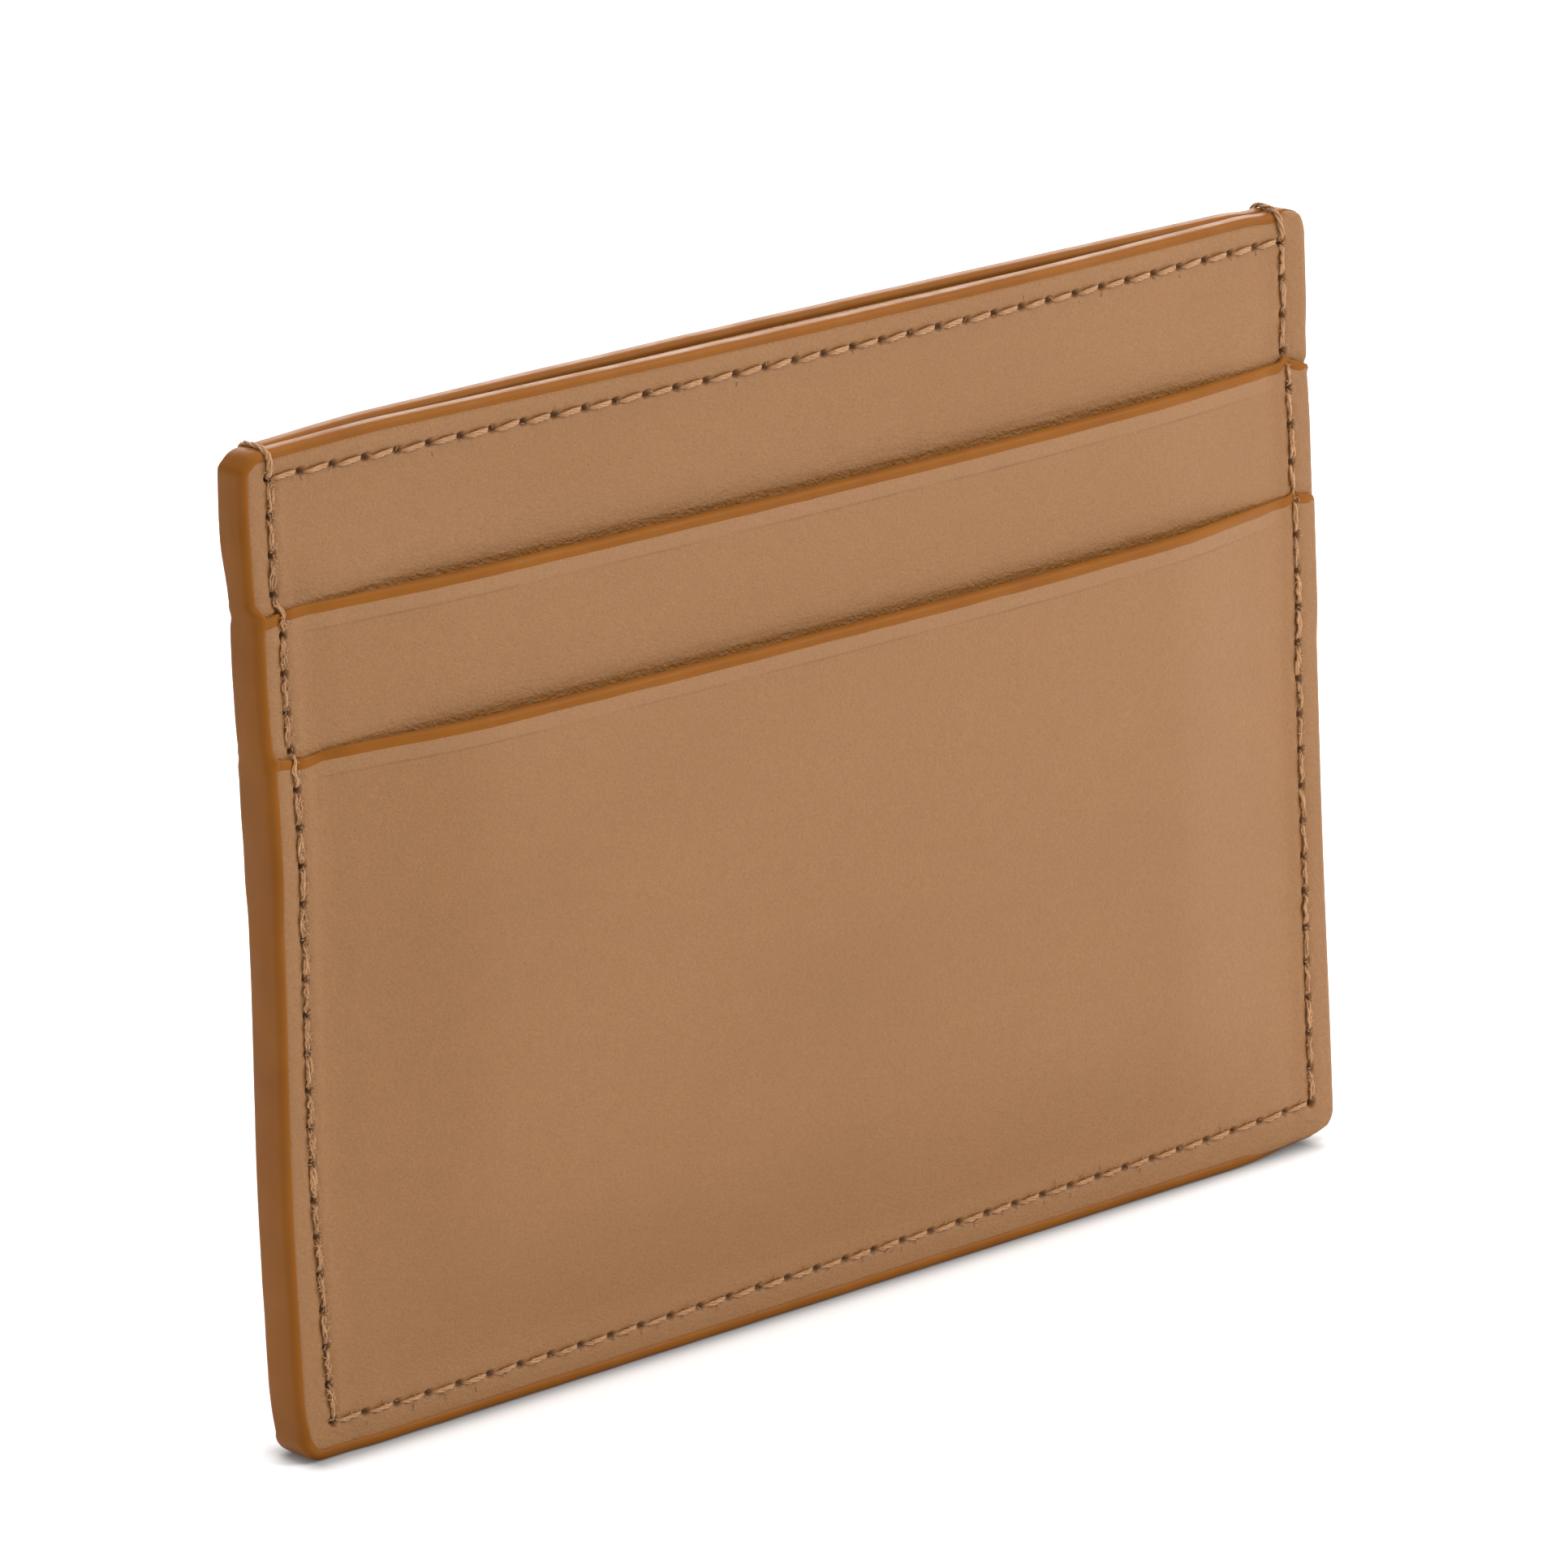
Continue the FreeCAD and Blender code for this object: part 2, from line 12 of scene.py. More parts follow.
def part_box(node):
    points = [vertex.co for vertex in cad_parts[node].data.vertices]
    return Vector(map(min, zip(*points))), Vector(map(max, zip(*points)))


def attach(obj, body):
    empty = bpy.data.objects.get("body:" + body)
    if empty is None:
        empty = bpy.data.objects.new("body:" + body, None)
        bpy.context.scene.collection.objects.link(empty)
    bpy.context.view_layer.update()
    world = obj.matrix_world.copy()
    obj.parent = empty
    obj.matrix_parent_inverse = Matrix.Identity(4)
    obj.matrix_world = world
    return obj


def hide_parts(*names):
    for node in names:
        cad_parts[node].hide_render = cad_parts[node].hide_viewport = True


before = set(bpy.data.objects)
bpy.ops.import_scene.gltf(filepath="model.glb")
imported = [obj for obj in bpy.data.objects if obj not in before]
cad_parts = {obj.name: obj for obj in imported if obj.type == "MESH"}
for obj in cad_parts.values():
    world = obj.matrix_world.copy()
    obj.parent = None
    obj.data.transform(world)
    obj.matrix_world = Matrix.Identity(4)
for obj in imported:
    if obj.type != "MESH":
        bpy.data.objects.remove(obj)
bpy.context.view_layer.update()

MM = 0.001
SIDES = {"front": -1, "back": 1}


# ---- camera

CAMERA_AZIMUTH = math.radians(-39.65)
CAMERA_ELEVATION = math.radians(15.71)
CAMERA_ROLL = math.radians(-2.645)
CAMERA_DISTANCE = 0.6534
CAMERA_AIM = Vector((-0.00205, 0.0, 0.04011))
CAMERA_LENS = 202.5


def add_camera():
    back = Vector((
        math.sin(CAMERA_AZIMUTH) * math.cos(CAMERA_ELEVATION),
        -math.cos(CAMERA_AZIMUTH) * math.cos(CAMERA_ELEVATION),
        math.sin(CAMERA_ELEVATION),
    ))
    data = bpy.data.cameras.new("camera")
    data.lens = CAMERA_LENS
    data.clip_start = 0.01
    camera = bpy.data.objects.new("camera", data)
    bpy.context.scene.collection.objects.link(camera)
    turn = back.to_track_quat("Z", "Y").to_matrix().to_4x4()
    roll = Matrix.Rotation(CAMERA_ROLL, 4, "Z")
    camera.matrix_world = Matrix.Translation(CAMERA_AIM + back * CAMERA_DISTANCE) @ turn @ roll
    bpy.context.scene.camera = camera


add_camera()


# ---- sizes from the CAD, in mm


def node_box(node):
    low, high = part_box(node)
    return np.array(low) / MM, np.array(high) / MM


PANEL_LOW, PANEL_HIGH = node_box("front_body_panel")
HALF = float(PANEL_HIGH[0])  # half width of the leather
FOOT = float(PANEL_LOW[2])   # lower cut edge of the leather
TOP = float(PANEL_HIGH[2])   # upper cut edge of the leather
UPPER_TOP, LOWER_TOP, upper_crest, lower_crest = (
    float(node_box(f"front_{part}")[1][2])
    for part in ("upper_pocket", "lower_pocket", "upper_mouth_paint", "lower_mouth_paint"))
UPPER_BEAD = upper_crest - UPPER_TOP
LOWER_BEAD = lower_crest - LOWER_TOP
PAINT = FOOT                 # paint on the outer cut edges
CORNER_CENTRE = float(node_box("bottom_edge_paint")[1][0])

MARGIN_EDGE = 46.5       # cemented from here outward
STEM_HALF = 40.5         # the T-shaped upper pocket: stem, its foot and the arms
STEM_FOOT = 13.0
ARM_BOTTOM = 44.0
BOTTOM_CORNERS = {-1: 1.3, 1: 1.9}   # corner radii of the leather
TOP_CORNERS = {-1: 1.3, 1: 1.6}
RIGHT_REACH = 0.5        # at the right the leather stands out, turns over and has thin paint
RIGHT_PAINT = 0.1
RIGHT_ROLL = 0.45

SEAM_X = 48.6
TOP_SEAM_Z = 72.6
BOTTOM_SEAM_Z = 3.1
BOTTOM_SEAM_TILT = 0.4   # lower at the left end, higher at the right
STITCHES = {"left": 25, "bottom": 34, "right": 24, "top": 35}

FILM = 0.05              # thickness of the cement, the lining and the panel
LINING = 0.55
BODY = 0.95


# ---- small maths


def smooth(low, high, value):
    t = np.clip((np.asarray(value, float) - low) / (np.asarray(high) - low), 0, 1)
    return t * t * (3 - 2 * t)


def mix(a, b, t):
    return a + (b - a) * t


def between(start, end, t):
    """The two coordinates of a place on the way from start to end."""
    return mix(start[0], end[0], t), mix(start[1], end[1], t)


def bell(value, width):
    return np.exp(-((np.asarray(value, float) / width) ** 2))


def grid(xs, zs):
    return np.meshgrid(xs, zs, indexing="ij")


def headings(path):
    """Unit vectors along a path."""
    ahead = np.gradient(path, axis=0)
    return ahead / (np.linalg.norm(ahead, axis=1)[:, None] + 1e-12)


_table = np.random.default_rng(7).uniform(-1, 1, (256, 256))


def ripple(u, v, seed=0):
    """Smooth noise from -1 to 1 with features one unit apart."""
    u, v = np.broadcast_arrays(np.asarray(u, float) + 31.7 * seed, np.asarray(v, float) + 17.3 * seed)
    i, j = np.floor(u).astype(int), np.floor(v).astype(int)
    s, t = u - i, v - j
    s, t = s * s * (3 - 2 * s), t * t * (3 - 2 * t)
    at = lambda a, b: _table[a % 256, b % 256]
    return mix(mix(at(i, j), at(i + 1, j), s), mix(at(i, j + 1), at(i + 1, j + 1), s), t)


# ---- the form of the whole


def lean(x, z):
    """How far the pair of halves stands back from the mid-plane: hand-made, not quite flat."""
    step = mix(smooth(56, 68, z), smooth(UPPER_TOP + 0.3, UPPER_TOP + 1.2, z), 1 - smooth(-49.5, -44, x))
    left = (
        0.65 - 0.45 * (1 - smooth(0, 6, z)) - 1.28 * smooth(14, 46, z) + 0.3 * smooth(51, 56, z)
        - 0.12 * smooth(58.5, 62, z) + 0.42 * step + 0.36 * smooth(63, 68.5, z) - 0.3 * smooth(69.5, 75, z)
    )
    right = 0.28 * smooth(57, 66, z) - 0.08
    return mix(left, right, smooth(-70, 62, x))


def hump(x, peak):
    """A bow between the side seams with its crest at peak."""
    left = np.clip((x + 47.6) / (peak + 47.6), 0, 1)
    right = np.clip((47.6 - x) / (47.6 - peak), 0, 1)
    reach = np.where(x < peak, np.sin(left * math.pi / 2) ** 0.85, np.sin(right * math.pi / 2))
    return reach * smooth(0, 3, 47.9 - np.abs(x))


def gape(x, z, side):
    """How far a half bows out from the mid-plane, which opens the middle pocket."""
    if side < 0:
        return 1.45 * hump(x, 12) * smooth(3, 46, z) ** 0.8
    return 0.75 * hump(x, -6) * smooth(3, 46, z) ** 0.8


def field(x):
    """0 in the cemented margins, 1 where the sheets lie free."""
    return 1 - smooth(32.5, 47.4, np.abs(x))


def rise(z):
    return smooth(4.2, 15, z)


def squeeze(x, z):
    """The stitching presses the thick part of the margins together."""
    return 0.2 * smooth(44, 47, np.abs(x)) * (1 - smooth(UPPER_TOP + 1.8, UPPER_TOP + 4.8, z))


def body_inner(x, z, side):
    return FILM + gape(x, z, side)


def body_outer(x, z, side):
    return FILM + LINING + BODY + gape(x, z, side) - squeeze(x, z)


def upper_outer(x, z, side):
    return body_outer(x, z, side) + 0.45 + 0.75 * field(x) * rise(z)


def upper_thick(x, z):
    return 0.4 + 0.3 * field(x)


def margin_level(z):
    """The lower pocket's face over the body's in the margins, where the arms lie under it."""
    return 0.5 + 0.2 * smooth(ARM_BOTTOM - 4, ARM_BOTTOM, z)


def lower_outer(x, z, side):
    return body_outer(x, z, side) + mix(margin_level(z), 2.4, field(x) * rise(z))


def lower_thick(x, z):
    margin = 0.45 - 0.25 * smooth(ARM_BOTTOM - 4, ARM_BOTTOM, z)
    return mix(margin, 0.7, field(x) * rise(z))


def bottom_seam(x):
    along = np.asarray(x, float) / SEAM_X
    return BOTTOM_SEAM_Z + BOTTOM_SEAM_TILT * along - 0.32 * (1 - along ** 4)


def skin(x, z, side):
    """The level of the outermost sheet, eased over each mouth."""
    x, z = np.asarray(x, float), np.asarray(z, float)
    level = mix(lower_outer(x, z, side), upper_outer(x, z, side), smooth(LOWER_TOP, LOWER_TOP + 0.9, z))
    return mix(level, body_outer(x, z, side), smooth(UPPER_TOP, UPPER_TOP + 0.9, z))


def edge_level(x, z, side):
    """The level of the outer leather face along the cut edge."""
    x, z = np.asarray(x, float), np.asarray(z, float)
    start = np.where(x > 0, -0.7, 0.35)
    level = mix(margin_level(z), 0.45, smooth(LOWER_TOP + start, LOWER_TOP + start + 0.8, z))
    level = mix(level, 0.0, smooth(UPPER_TOP + start, UPPER_TOP + start + 0.8, z))
    return body_outer(x, z, side) + level


def trim(x):
    """The top edge is cut low at the left end, held down by the right binding and flares past it."""
    return -0.42 * (1 - smooth(-50, -38, x)) - 0.2 * bell(x - 47.5, 1.5) + 0.5 * smooth(48.3, 49.6, x)


def rounded(x, z):
    """Moves lattice points so that the outline's four corners become round."""
    x, z = (v.copy() for v in np.broadcast_arrays(np.array(x, float), np.array(z, float)))
    lift = trim(x) * smooth(TOP_SEAM_Z + 0.3, TOP, z)
    for hand in (-1, 1):
        for up, edge, radius in ((-1, FOOT, BOTTOM_CORNERS[hand]), (1, TOP, TOP_CORNERS[hand])):
            cx, cz = hand * (HALF - radius), edge - up * radius
            u, v = (x - cx) * hand / radius, (z - cz) * up / radius
            here = (u > 0) & (v > 0)
            nu = u * np.sqrt(np.maximum(1 - v * v / 2, 0))
            nv = v * np.sqrt(np.maximum(1 - u * u / 2, 0))
            x = np.where(here, cx + hand * nu * radius, x)
            z = np.where(here, cz + up * nv * radius, z)
    reach = RIGHT_REACH + 0.4 * smooth(UPPER_TOP - 0.5, UPPER_TOP + 0.5, z) + 0.3 * (1 - smooth(3, 30, z))
    return x + reach * smooth(48.9, HALF, x), z + lift


def place(x, z, level, side):
    """Points in metres for lattice places (x, z) and an outward level."""
    across, up = rounded(x, z)
    return np.stack([across, lean(x, z) + side * level, up], -1) * MM


# ---- stitch holes and what they do to the leather


def run(start, end, count):
    return np.stack(between(start, end, np.linspace(0, 1, count + 1)), -1)


LEFT_FOOT_INSET = 0.55
LEFT_FOOT = (-SEAM_X + LEFT_FOOT_INSET, float(bottom_seam(-SEAM_X)))
RIGHT_FOOT = (SEAM_X, float(bottom_seam(SEAM_X)))
HOLES = {
    "left": run((-SEAM_X, TOP_SEAM_Z), LEFT_FOOT, STITCHES["left"]),
    "bottom": run(LEFT_FOOT, RIGHT_FOOT, STITCHES["bottom"]),
    "right": run(RIGHT_FOOT, (SEAM_X, TOP_SEAM_Z), STITCHES["right"]),
    "top": run((-SEAM_X, TOP_SEAM_Z), (SEAM_X, TOP_SEAM_Z), STITCHES["top"]),
}
HOLES["bottom"][:, 1] = bottom_seam(HOLES["bottom"][:, 0])
left_z = HOLES["left"][:, 1]
HOLES["left"][:, 0] = (
    -SEAM_X + LEFT_FOOT_INSET * (1 - smooth(2, 30, left_z))
    - 0.15 * bell(left_z - 57, 8) + 0.1 * smooth(64, 70, left_z))
# half length along the seam, half width across it, depth
HOLE_SHAPE = {
    "left": (0.31, 0.22, 0.6), "right": (0.36, 0.22, 0.6),
    "bottom": (0.27, 0.24, 0.45), "top": (0.27, 0.26, 0.5),
}
# depth and half width of the pressed line
TRENCH = {"left": (0.13, 0.42), "right": (0.12, 0.42), "bottom": (0.11, 0.27), "top": (0.12, 0.25)}


def seam_press(x, z, seams):
    """How far the leather is pressed in along the seams, and the painted shade in the holes."""
    x, z = np.broadcast_arrays(np.asarray(x, float), np.asarray(z, float))
    press = np.zeros(x.shape)
    hole_shade = np.zeros(x.shape)
    for name in seams:
        holes = HOLES[name]
        along, across, depth = HOLE_SHAPE[name]
        upright = name in ("left", "right")
        if upright:
            off = x - np.interp(z, *zip(*sorted((hole[1], hole[0]) for hole in holes)))
            within = 1 - smooth(TOP_SEAM_Z, TOP_SEAM_Z + 0.6, z)
            within = within * smooth(BOTTOM_SEAM_Z - 1, BOTTOM_SEAM_Z, z)
        else:
            level = bottom_seam(x) if name == "bottom" else TOP_SEAM_Z
            off = z - level
            within = 1 - smooth(SEAM_X, SEAM_X + 0.6, np.abs(x))
        line_depth, line_width = TRENCH[name]
        press += line_depth * bell(off, line_width) * within
        # the leather swells a little on both sides of the seam
        press -= 0.2 * line_depth * bell(np.abs(off) - 0.9, 0.4) * within
        for hx, hz in holes:
            near = (np.abs(x - hx) < 1.6) & (np.abs(z - hz) < 1.6)
            if not near.any():
                continue
            du, dv = x[near] - hx, z[near] - hz
            if upright:
                du, dv = dv, du
            r = np.hypot(du / along, dv / across)
            press[near] += depth * np.exp(-(r ** 2.4)) - 0.05 * bell(r - 1.9, 0.5)
            # painted shade that darkens the hole
            hole_shade[near] = np.maximum(hole_shade[near], np.exp(-((r / 1.05) ** 3)))
    press -= 0.12 * bell(x - 50.0, 0.6) * smooth(UPPER_TOP, UPPER_TOP + 1, z)
    press += 0.035 * ripple(x * 1.9, z * 1.9, 3) * bell(np.abs(x) - SEAM_X, 1.1)
    return press, hole_shade


# ---- meshes


def new_object(name, points, faces, material, smooth_faces=True, layers=None):
    mesh = bpy.data.meshes.new(name)
    mesh.from_pydata([tuple(p) for p in points], [], faces)
    shell = bmesh.new()
    shell.from_mesh(mesh)
    bmesh.ops.recalc_face_normals(shell, faces=shell.faces)
    shell.to_mesh(mesh)
    shell.free()
    for key, values in (layers or {}).items():
        layer = mesh.attributes.new(key, "FLOAT", "POINT")
        layer.data.foreach_set("value", np.asarray(values, np.float32))
    if smooth_faces:
        mesh.polygons.foreach_set("use_smooth", [True] * len(mesh.polygons))
    mesh.materials.append(material)
    piece = bpy.data.objects.new(name, mesh)
    bpy.context.scene.collection.objects.link(piece)
    return piece


def ruler(low, high, coarse, zones=()):
    """Positions from low to high, coarse apart, and closer in each zone (from, to, step)."""
    marks = [low]
    while marks[-1] < high - 1e-6:
        at = marks[-1]
        step = coarse
        for start, end, fine in zones:
            if start - 1e-6 <= at < end - 1e-6:
                step = min(step, fine)
            elif at < start < at + step:
                step = min(step, max(start - at, 1e-3))
        nxt = at + step
        if high - nxt < 0.4 * step:
            nxt = high
        marks.append(nxt)
    return np.array(marks)


def thinned(marks, low, high, step):
    """Indices of the marks to keep between low and high, about step apart."""
    kept, last = [], None
    for index, at in enumerate(marks):
        if at < low - 1e-6 or at > high + 1e-6:
            continue
        if last is None or at - last >= step - 1e-6:
            kept.append(index)
            last = at
    return kept


def lattice_faces(nx, nz, window=None, cols=(), rows=(), live=None):
    """Faces of a lattice as lists of (column, row). Inside the window they are larger,
    and keep every vertex along the window's own border."""
    i0, i1, j0, j1 = window or (0, 0, 0, 0)
    faces = []
    for i in range(nx - 1):
        for j in range(nz - 1):
            if i0 <= i < i1 and j0 <= j < j1:
                continue
            if live is None or live[i, j]:
                faces.append([(i, j), (i + 1, j), (i + 1, j + 1), (i, j + 1)])
    if window:
        cols = [i0] + [c for c in cols if i0 < c < i1] + [i1]
        rows = [j0] + [r for r in rows if j0 < r < j1] + [j1]
        for a, b in zip(cols, cols[1:]):
            for c, d in zip(rows, rows[1:]):
                foot = range(a, b) if c == j0 else [a]
                right = range(c, d) if b == i1 else [c]
                head = range(b, a, -1) if d == j1 else [b]
                left = range(d, c, -1) if a == i0 else [d]
                faces.append(
                    [(i, c) for i in foot] + [(b, j) for j in right]
                    + [(i, d) for i in head] + [(a, j) for j in left])
    return faces


def mouth_sag(x, label):
    """The cut edge of a pocket is pulled up at the right seam and droops outside the seams."""
    x = np.asarray(x, float)
    right = 0.40 * bell(x - SEAM_X + 0.15, 0.5) - 0.42 * smooth(SEAM_X + 0.2, HALF, x)
    if label == "upper":
        left = -0.32 * smooth(-SEAM_X + 0.8, -HALF, x)
    else:
        left = -0.28 * bell(x + SEAM_X - 1.0, 1.6)
        right = right * 0.6
    return right + left


def sheet_piece(name, side, xs, zs, inner, outer, material, layers=None, sag=None, **pattern):
    """A closed sheet between two levels, given on the lattice of xs and zs."""
    X, Z = grid(xs, zs)
    nz = len(zs)
    count = X.size
    points = np.concatenate([
        place(X, Z, outer, side).reshape(-1, 3), place(X, Z, inner, side).reshape(-1, 3)])
    if sag is not None:
        points[:, 2] += np.tile(sag.ravel(), 2) * MM
    cells = [[i * nz + j for i, j in face] for face in lattice_faces(len(xs), nz, **pattern)]
    if side > 0:
        cells = [face[::-1] for face in cells]
    edges = set()
    for face in cells:
        for u, v in zip(face, face[1:] + face[:1]):
            edges.add((u, v))
    faces = cells + [[k + count for k in face[::-1]] for face in cells]
    faces += [[v, u, u + count, v + count] for u, v in sorted(edges) if (v, u) not in edges]
    used = np.zeros(2 * count, bool)
    used[[k for face in faces for k in face]] = True
    renumber = np.cumsum(used) - 1
    faces = [[int(renumber[k]) for k in face] for face in faces]
    kept = {}
    for key, values in (layers or {}).items():
        kept[key] = np.concatenate([values.ravel(), values.ravel() * 0])[used]
    return new_object(name, points[used], faces, material, layers=kept)


def sweep(name, sections, material):
    """A closed skin through sections, each a closed loop with the same number of points."""
    sections = np.asarray(sections)
    sections = np.concatenate([
        sections[:1], mix(sections[:1], sections[1:2], 0.04), sections[1:-1],
        mix(sections[-1:], sections[-2:-1], 0.04), sections[-1:]])
    n, m = sections.shape[:2]
    faces = []
    for i in range(n - 1):
        for j in range(m):
            k = (j + 1) % m
            faces.append([i * m + j, i * m + k, (i + 1) * m + k, (i + 1) * m + j])
    faces.append(list(range(m))[::-1])
    faces.append([(n - 1) * m + j for j in range(m)])
    return new_object(name, sections.reshape(-1, 3), faces, material)


# ---- materials


class Nodes:
    """Short hand for building a node tree."""

    def __init__(self, name):
        self.material = bpy.data.materials.new(name)
        self.material.use_nodes = True
        self.tree = self.material.node_tree
        self.shader = self.tree.nodes["Principled BSDF"]

    def add(self, kind, inputs=None, **settings):
        node = self.tree.nodes.new(kind)
        for key, value in settings.items():
            setattr(node, key, value)
        for key, value in (inputs or {}).items():
            self.plug(node.inputs[key], value)
        return node

    def plug(self, socket, value):
        """Links a socket to another one, or gives it a fixed value."""
        if isinstance(value, bpy.types.NodeSocket):
            self.tree.links.new(value, socket)
        else:
            socket.default_value = value

    def set(self, **values):
        for key, value in values.items():
            self.plug(self.shader.inputs[key.replace("_", " ")], value)

    def where(self):
        return self.add("ShaderNodeTexCoord").outputs["Object"]

    def stretched(self, scale):
        return self.add("ShaderNodeMapping", {"Vector": self.where(), "Scale": scale}).outputs[0]

    def noise(self, vector, scale, detail=2.0, rough=0.5):
        return self.add("ShaderNodeTexNoise", {
            "Vector": vector, "Scale": scale, "Detail": detail, "Roughness": rough}).outputs["Fac"]

    def cells(self, vector, scale, feature="F1"):
        inputs = {"Vector": vector, "Scale": scale}
        return self.add("ShaderNodeTexVoronoi", inputs, feature=feature).outputs["Distance"]

    def ramp(self, factor, *stops):
        node = self.add("ShaderNodeValToRGB", {"Fac": factor})
        elements = node.color_ramp.elements
        while len(elements) < len(stops):
            elements.new(0.5)
        for element, (at, colour) in zip(elements, stops):
            element.position = at
            element.color = (*colour, 1)
        return node.outputs["Color"]

    def span(self, value, low, high, to_low=0.0, to_high=1.0):
        inputs = {"Value": value, "From Min": low, "From Max": high, "To Min": to_low, "To Max": to_high}
        return self.add("ShaderNodeMapRange", inputs).outputs["Result"]

    def math(self, operation, a, b=0.0):
        return self.add("ShaderNodeMath", {0: a, 1: b}, operation=operation).outputs[0]

    def blend(self, factor, a, b, mode="MIX"):
        node = self.add("ShaderNodeMix", {"Factor": factor}, data_type="RGBA", blend_type=mode)
        for index, value in ((6, a), (7, b)):
            self.plug(node.inputs[index], (*value, 1) if isinstance(value, tuple) else value)
        return node.outputs[2]

    def layer(self, name):
        node = self.add("ShaderNodeAttribute", attribute_name=name, attribute_type="GEOMETRY")
        return node.outputs["Fac"]

    def bump(self, height, distance, strength=1.0, normal=None):
        inputs = {"Height": height, "Distance": distance, "Strength": strength}
        if normal is not None:
            inputs["Normal"] = normal
        return self.add("ShaderNodeBump", inputs).outputs[0]


LEATHER_COLOUR = (0.286, 0.134, 0.0445)
LEATHER_DEEP = (0.268, 0.124, 0.040)
LEATHER_PALE = (0.300, 0.142, 0.050)
LEATHER_LIT_BAND = (0.304, 0.152, 0.065)
HOLE_SHADE_COLOUR = (0.095, 0.038, 0.010)


def leather_material():
    n = Nodes("calf_leather_tan")
    at = n.stretched((0.72, 1.0, 1.0))
    cloud = n.noise(at, 55, 3.0, 0.55)
    mottle = n.noise(at, 900, 3.0, 0.6)
    colour = n.ramp(cloud, (0.3, LEATHER_DEEP), (0.5, LEATHER_COLOUR), (0.75, LEATHER_PALE))
    colour = n.blend(n.span(mottle, 0.35, 0.7, 0.0, 0.5), colour, LEATHER_DEEP)
    sand = n.noise(at, 6500, 3.0, 0.7)
    colour = n.blend(n.span(sand, 0.35, 0.65, 0.0, 0.42), colour, (0.176, 0.0755, 0.025))
    # painted light: the raised strip between crease and mouth is coloured lighter and pinker
    colour = n.blend(n.math("MULTIPLY", n.layer("lit_band"), 0.25), colour, LEATHER_LIT_BAND)
    # painted shade where the leather dips into a slot, plus the real paint tint under the top edge
    colour = n.blend(n.math("MULTIPLY", n.layer("slot_shade_and_edge_tint"), 0.8), colour, (0.238, 0.088, 0.0055))
    pores = n.cells(at, 3600)
    colour = n.blend(n.span(pores, 0.0, 0.35, 0.22, 0.0), colour, (0.20, 0.082, 0.032))
    # painted shade along the pressed line under each mouth
    colour = n.blend(n.math("MULTIPLY", n.layer("crease"), 0.45), colour, (0.15, 0.06, 0.02))
    # painted shade in the stitch holes
    colour = n.blend(n.layer("hole"), colour, HOLE_SHADE_COLOUR)
    grain = n.noise(at, 3000, 4.0, 0.65)
    pebble_height = n.span(n.layer("slot_shade_and_edge_tint"), 0.0, 0.4, 0.2, 0.8)
    pebble = n.math("MULTIPLY", n.cells(at, 4300, "SMOOTH_F1"), pebble_height)
    fine = n.noise(at, 11000, 2.0, 0.6)
    normal = n.bump(grain, 0.00007, 0.6)
    normal = n.bump(n.span(pores, 0.0, 0.5), 0.00004, 0.45, normal)
    normal = n.bump(pebble, 0.00011, 0.8, normal)
    normal = n.bump(fine, 0.00005, 0.9, normal)
    n.set(Base_Color=colour, Roughness=n.span(grain, 0.3, 0.7, 0.46, 0.6), Normal=normal)
    n.set(Specular_IOR_Level=0.35)
    return n.material


def paint_material(name, sheen):
    n = Nodes(name)
    at = n.where()
    cloud = n.noise(at, 160, 3.0, 0.6)
    colour = n.ramp(
        cloud, (0.3, (0.205, 0.065, 0.0050)), (0.6, (0.228, 0.076, 0.0062)),
        (0.85, (0.247, 0.0845, 0.0080)))
    wave = n.noise(at, 420, 2.0, 0.5)
    fine = n.noise(at, 5200, 2.0, 0.5)
    normal = n.bump(wave, 0.00012, 0.5)
    normal = n.bump(fine, 0.000012, 0.4, normal)
    n.set(Base_Color=colour, Roughness=n.span(wave, 0.3, 0.7, 0.40, 0.52), Normal=normal)
    n.set(Specular_IOR_Level=0.1, Sheen_Weight=sheen, Sheen_Roughness=0.4, Sheen_Tint=(1.0, 0.9, 0.72, 1))
    return n.material


def lining_material():
    n = Nodes("napped_lining")
    at = n.where()
    nap = n.noise(at, 2600, 5.0, 0.7)
    tufts = n.noise(at, 700, 3.0, 0.6)
    colour = n.ramp(nap, (0.3, (0.24, 0.115, 0.045)), (0.6, (0.46, 0.25, 0.11)))
    normal = n.bump(nap, 0.00025, 0.9)
    normal = n.bump(tufts, 0.0002, 0.5, normal)
    n.set(Base_Color=colour, Roughness=0.95, Normal=normal)
    n.set(Specular_IOR_Level=0.15, Sheen_Weight=0.25, Sheen_Roughness=0.6)
    return n.material


def thread_material():
    n = Nodes("twisted_thread")
    vector = n.add("ShaderNodeCombineXYZ", {0: n.layer("turn"), 1: n.layer("run")}).outputs[0]
    fibre = n.noise(vector, 1.0, 3.0, 0.6)
    shade = n.noise(n.where(), 380, 2.0, 0.5)
    colour = n.ramp(
        fibre, (0.3, (0.26, 0.112, 0.036)), (0.5, (0.43, 0.220, 0.092)), (0.8, (0.65, 0.385, 0.19)))
    colour = n.blend(n.span(shade, 0.3, 0.7, 0.0, 0.35), colour, (0.33, 0.155, 0.06))
    # painted shade where the thread dives into its holes
    colour = n.blend(n.math("MULTIPLY", n.layer("sunk_shade"), 0.6), colour, (0.09, 0.035, 0.012))
    normal = n.bump(fibre, 0.00006, 0.8)
    n.set(Base_Color=colour, Roughness=0.62, Normal=normal)
    n.set(Specular_IOR_Level=0.35, Sheen_Weight=0.2, Sheen_Roughness=0.45)
    return n.material


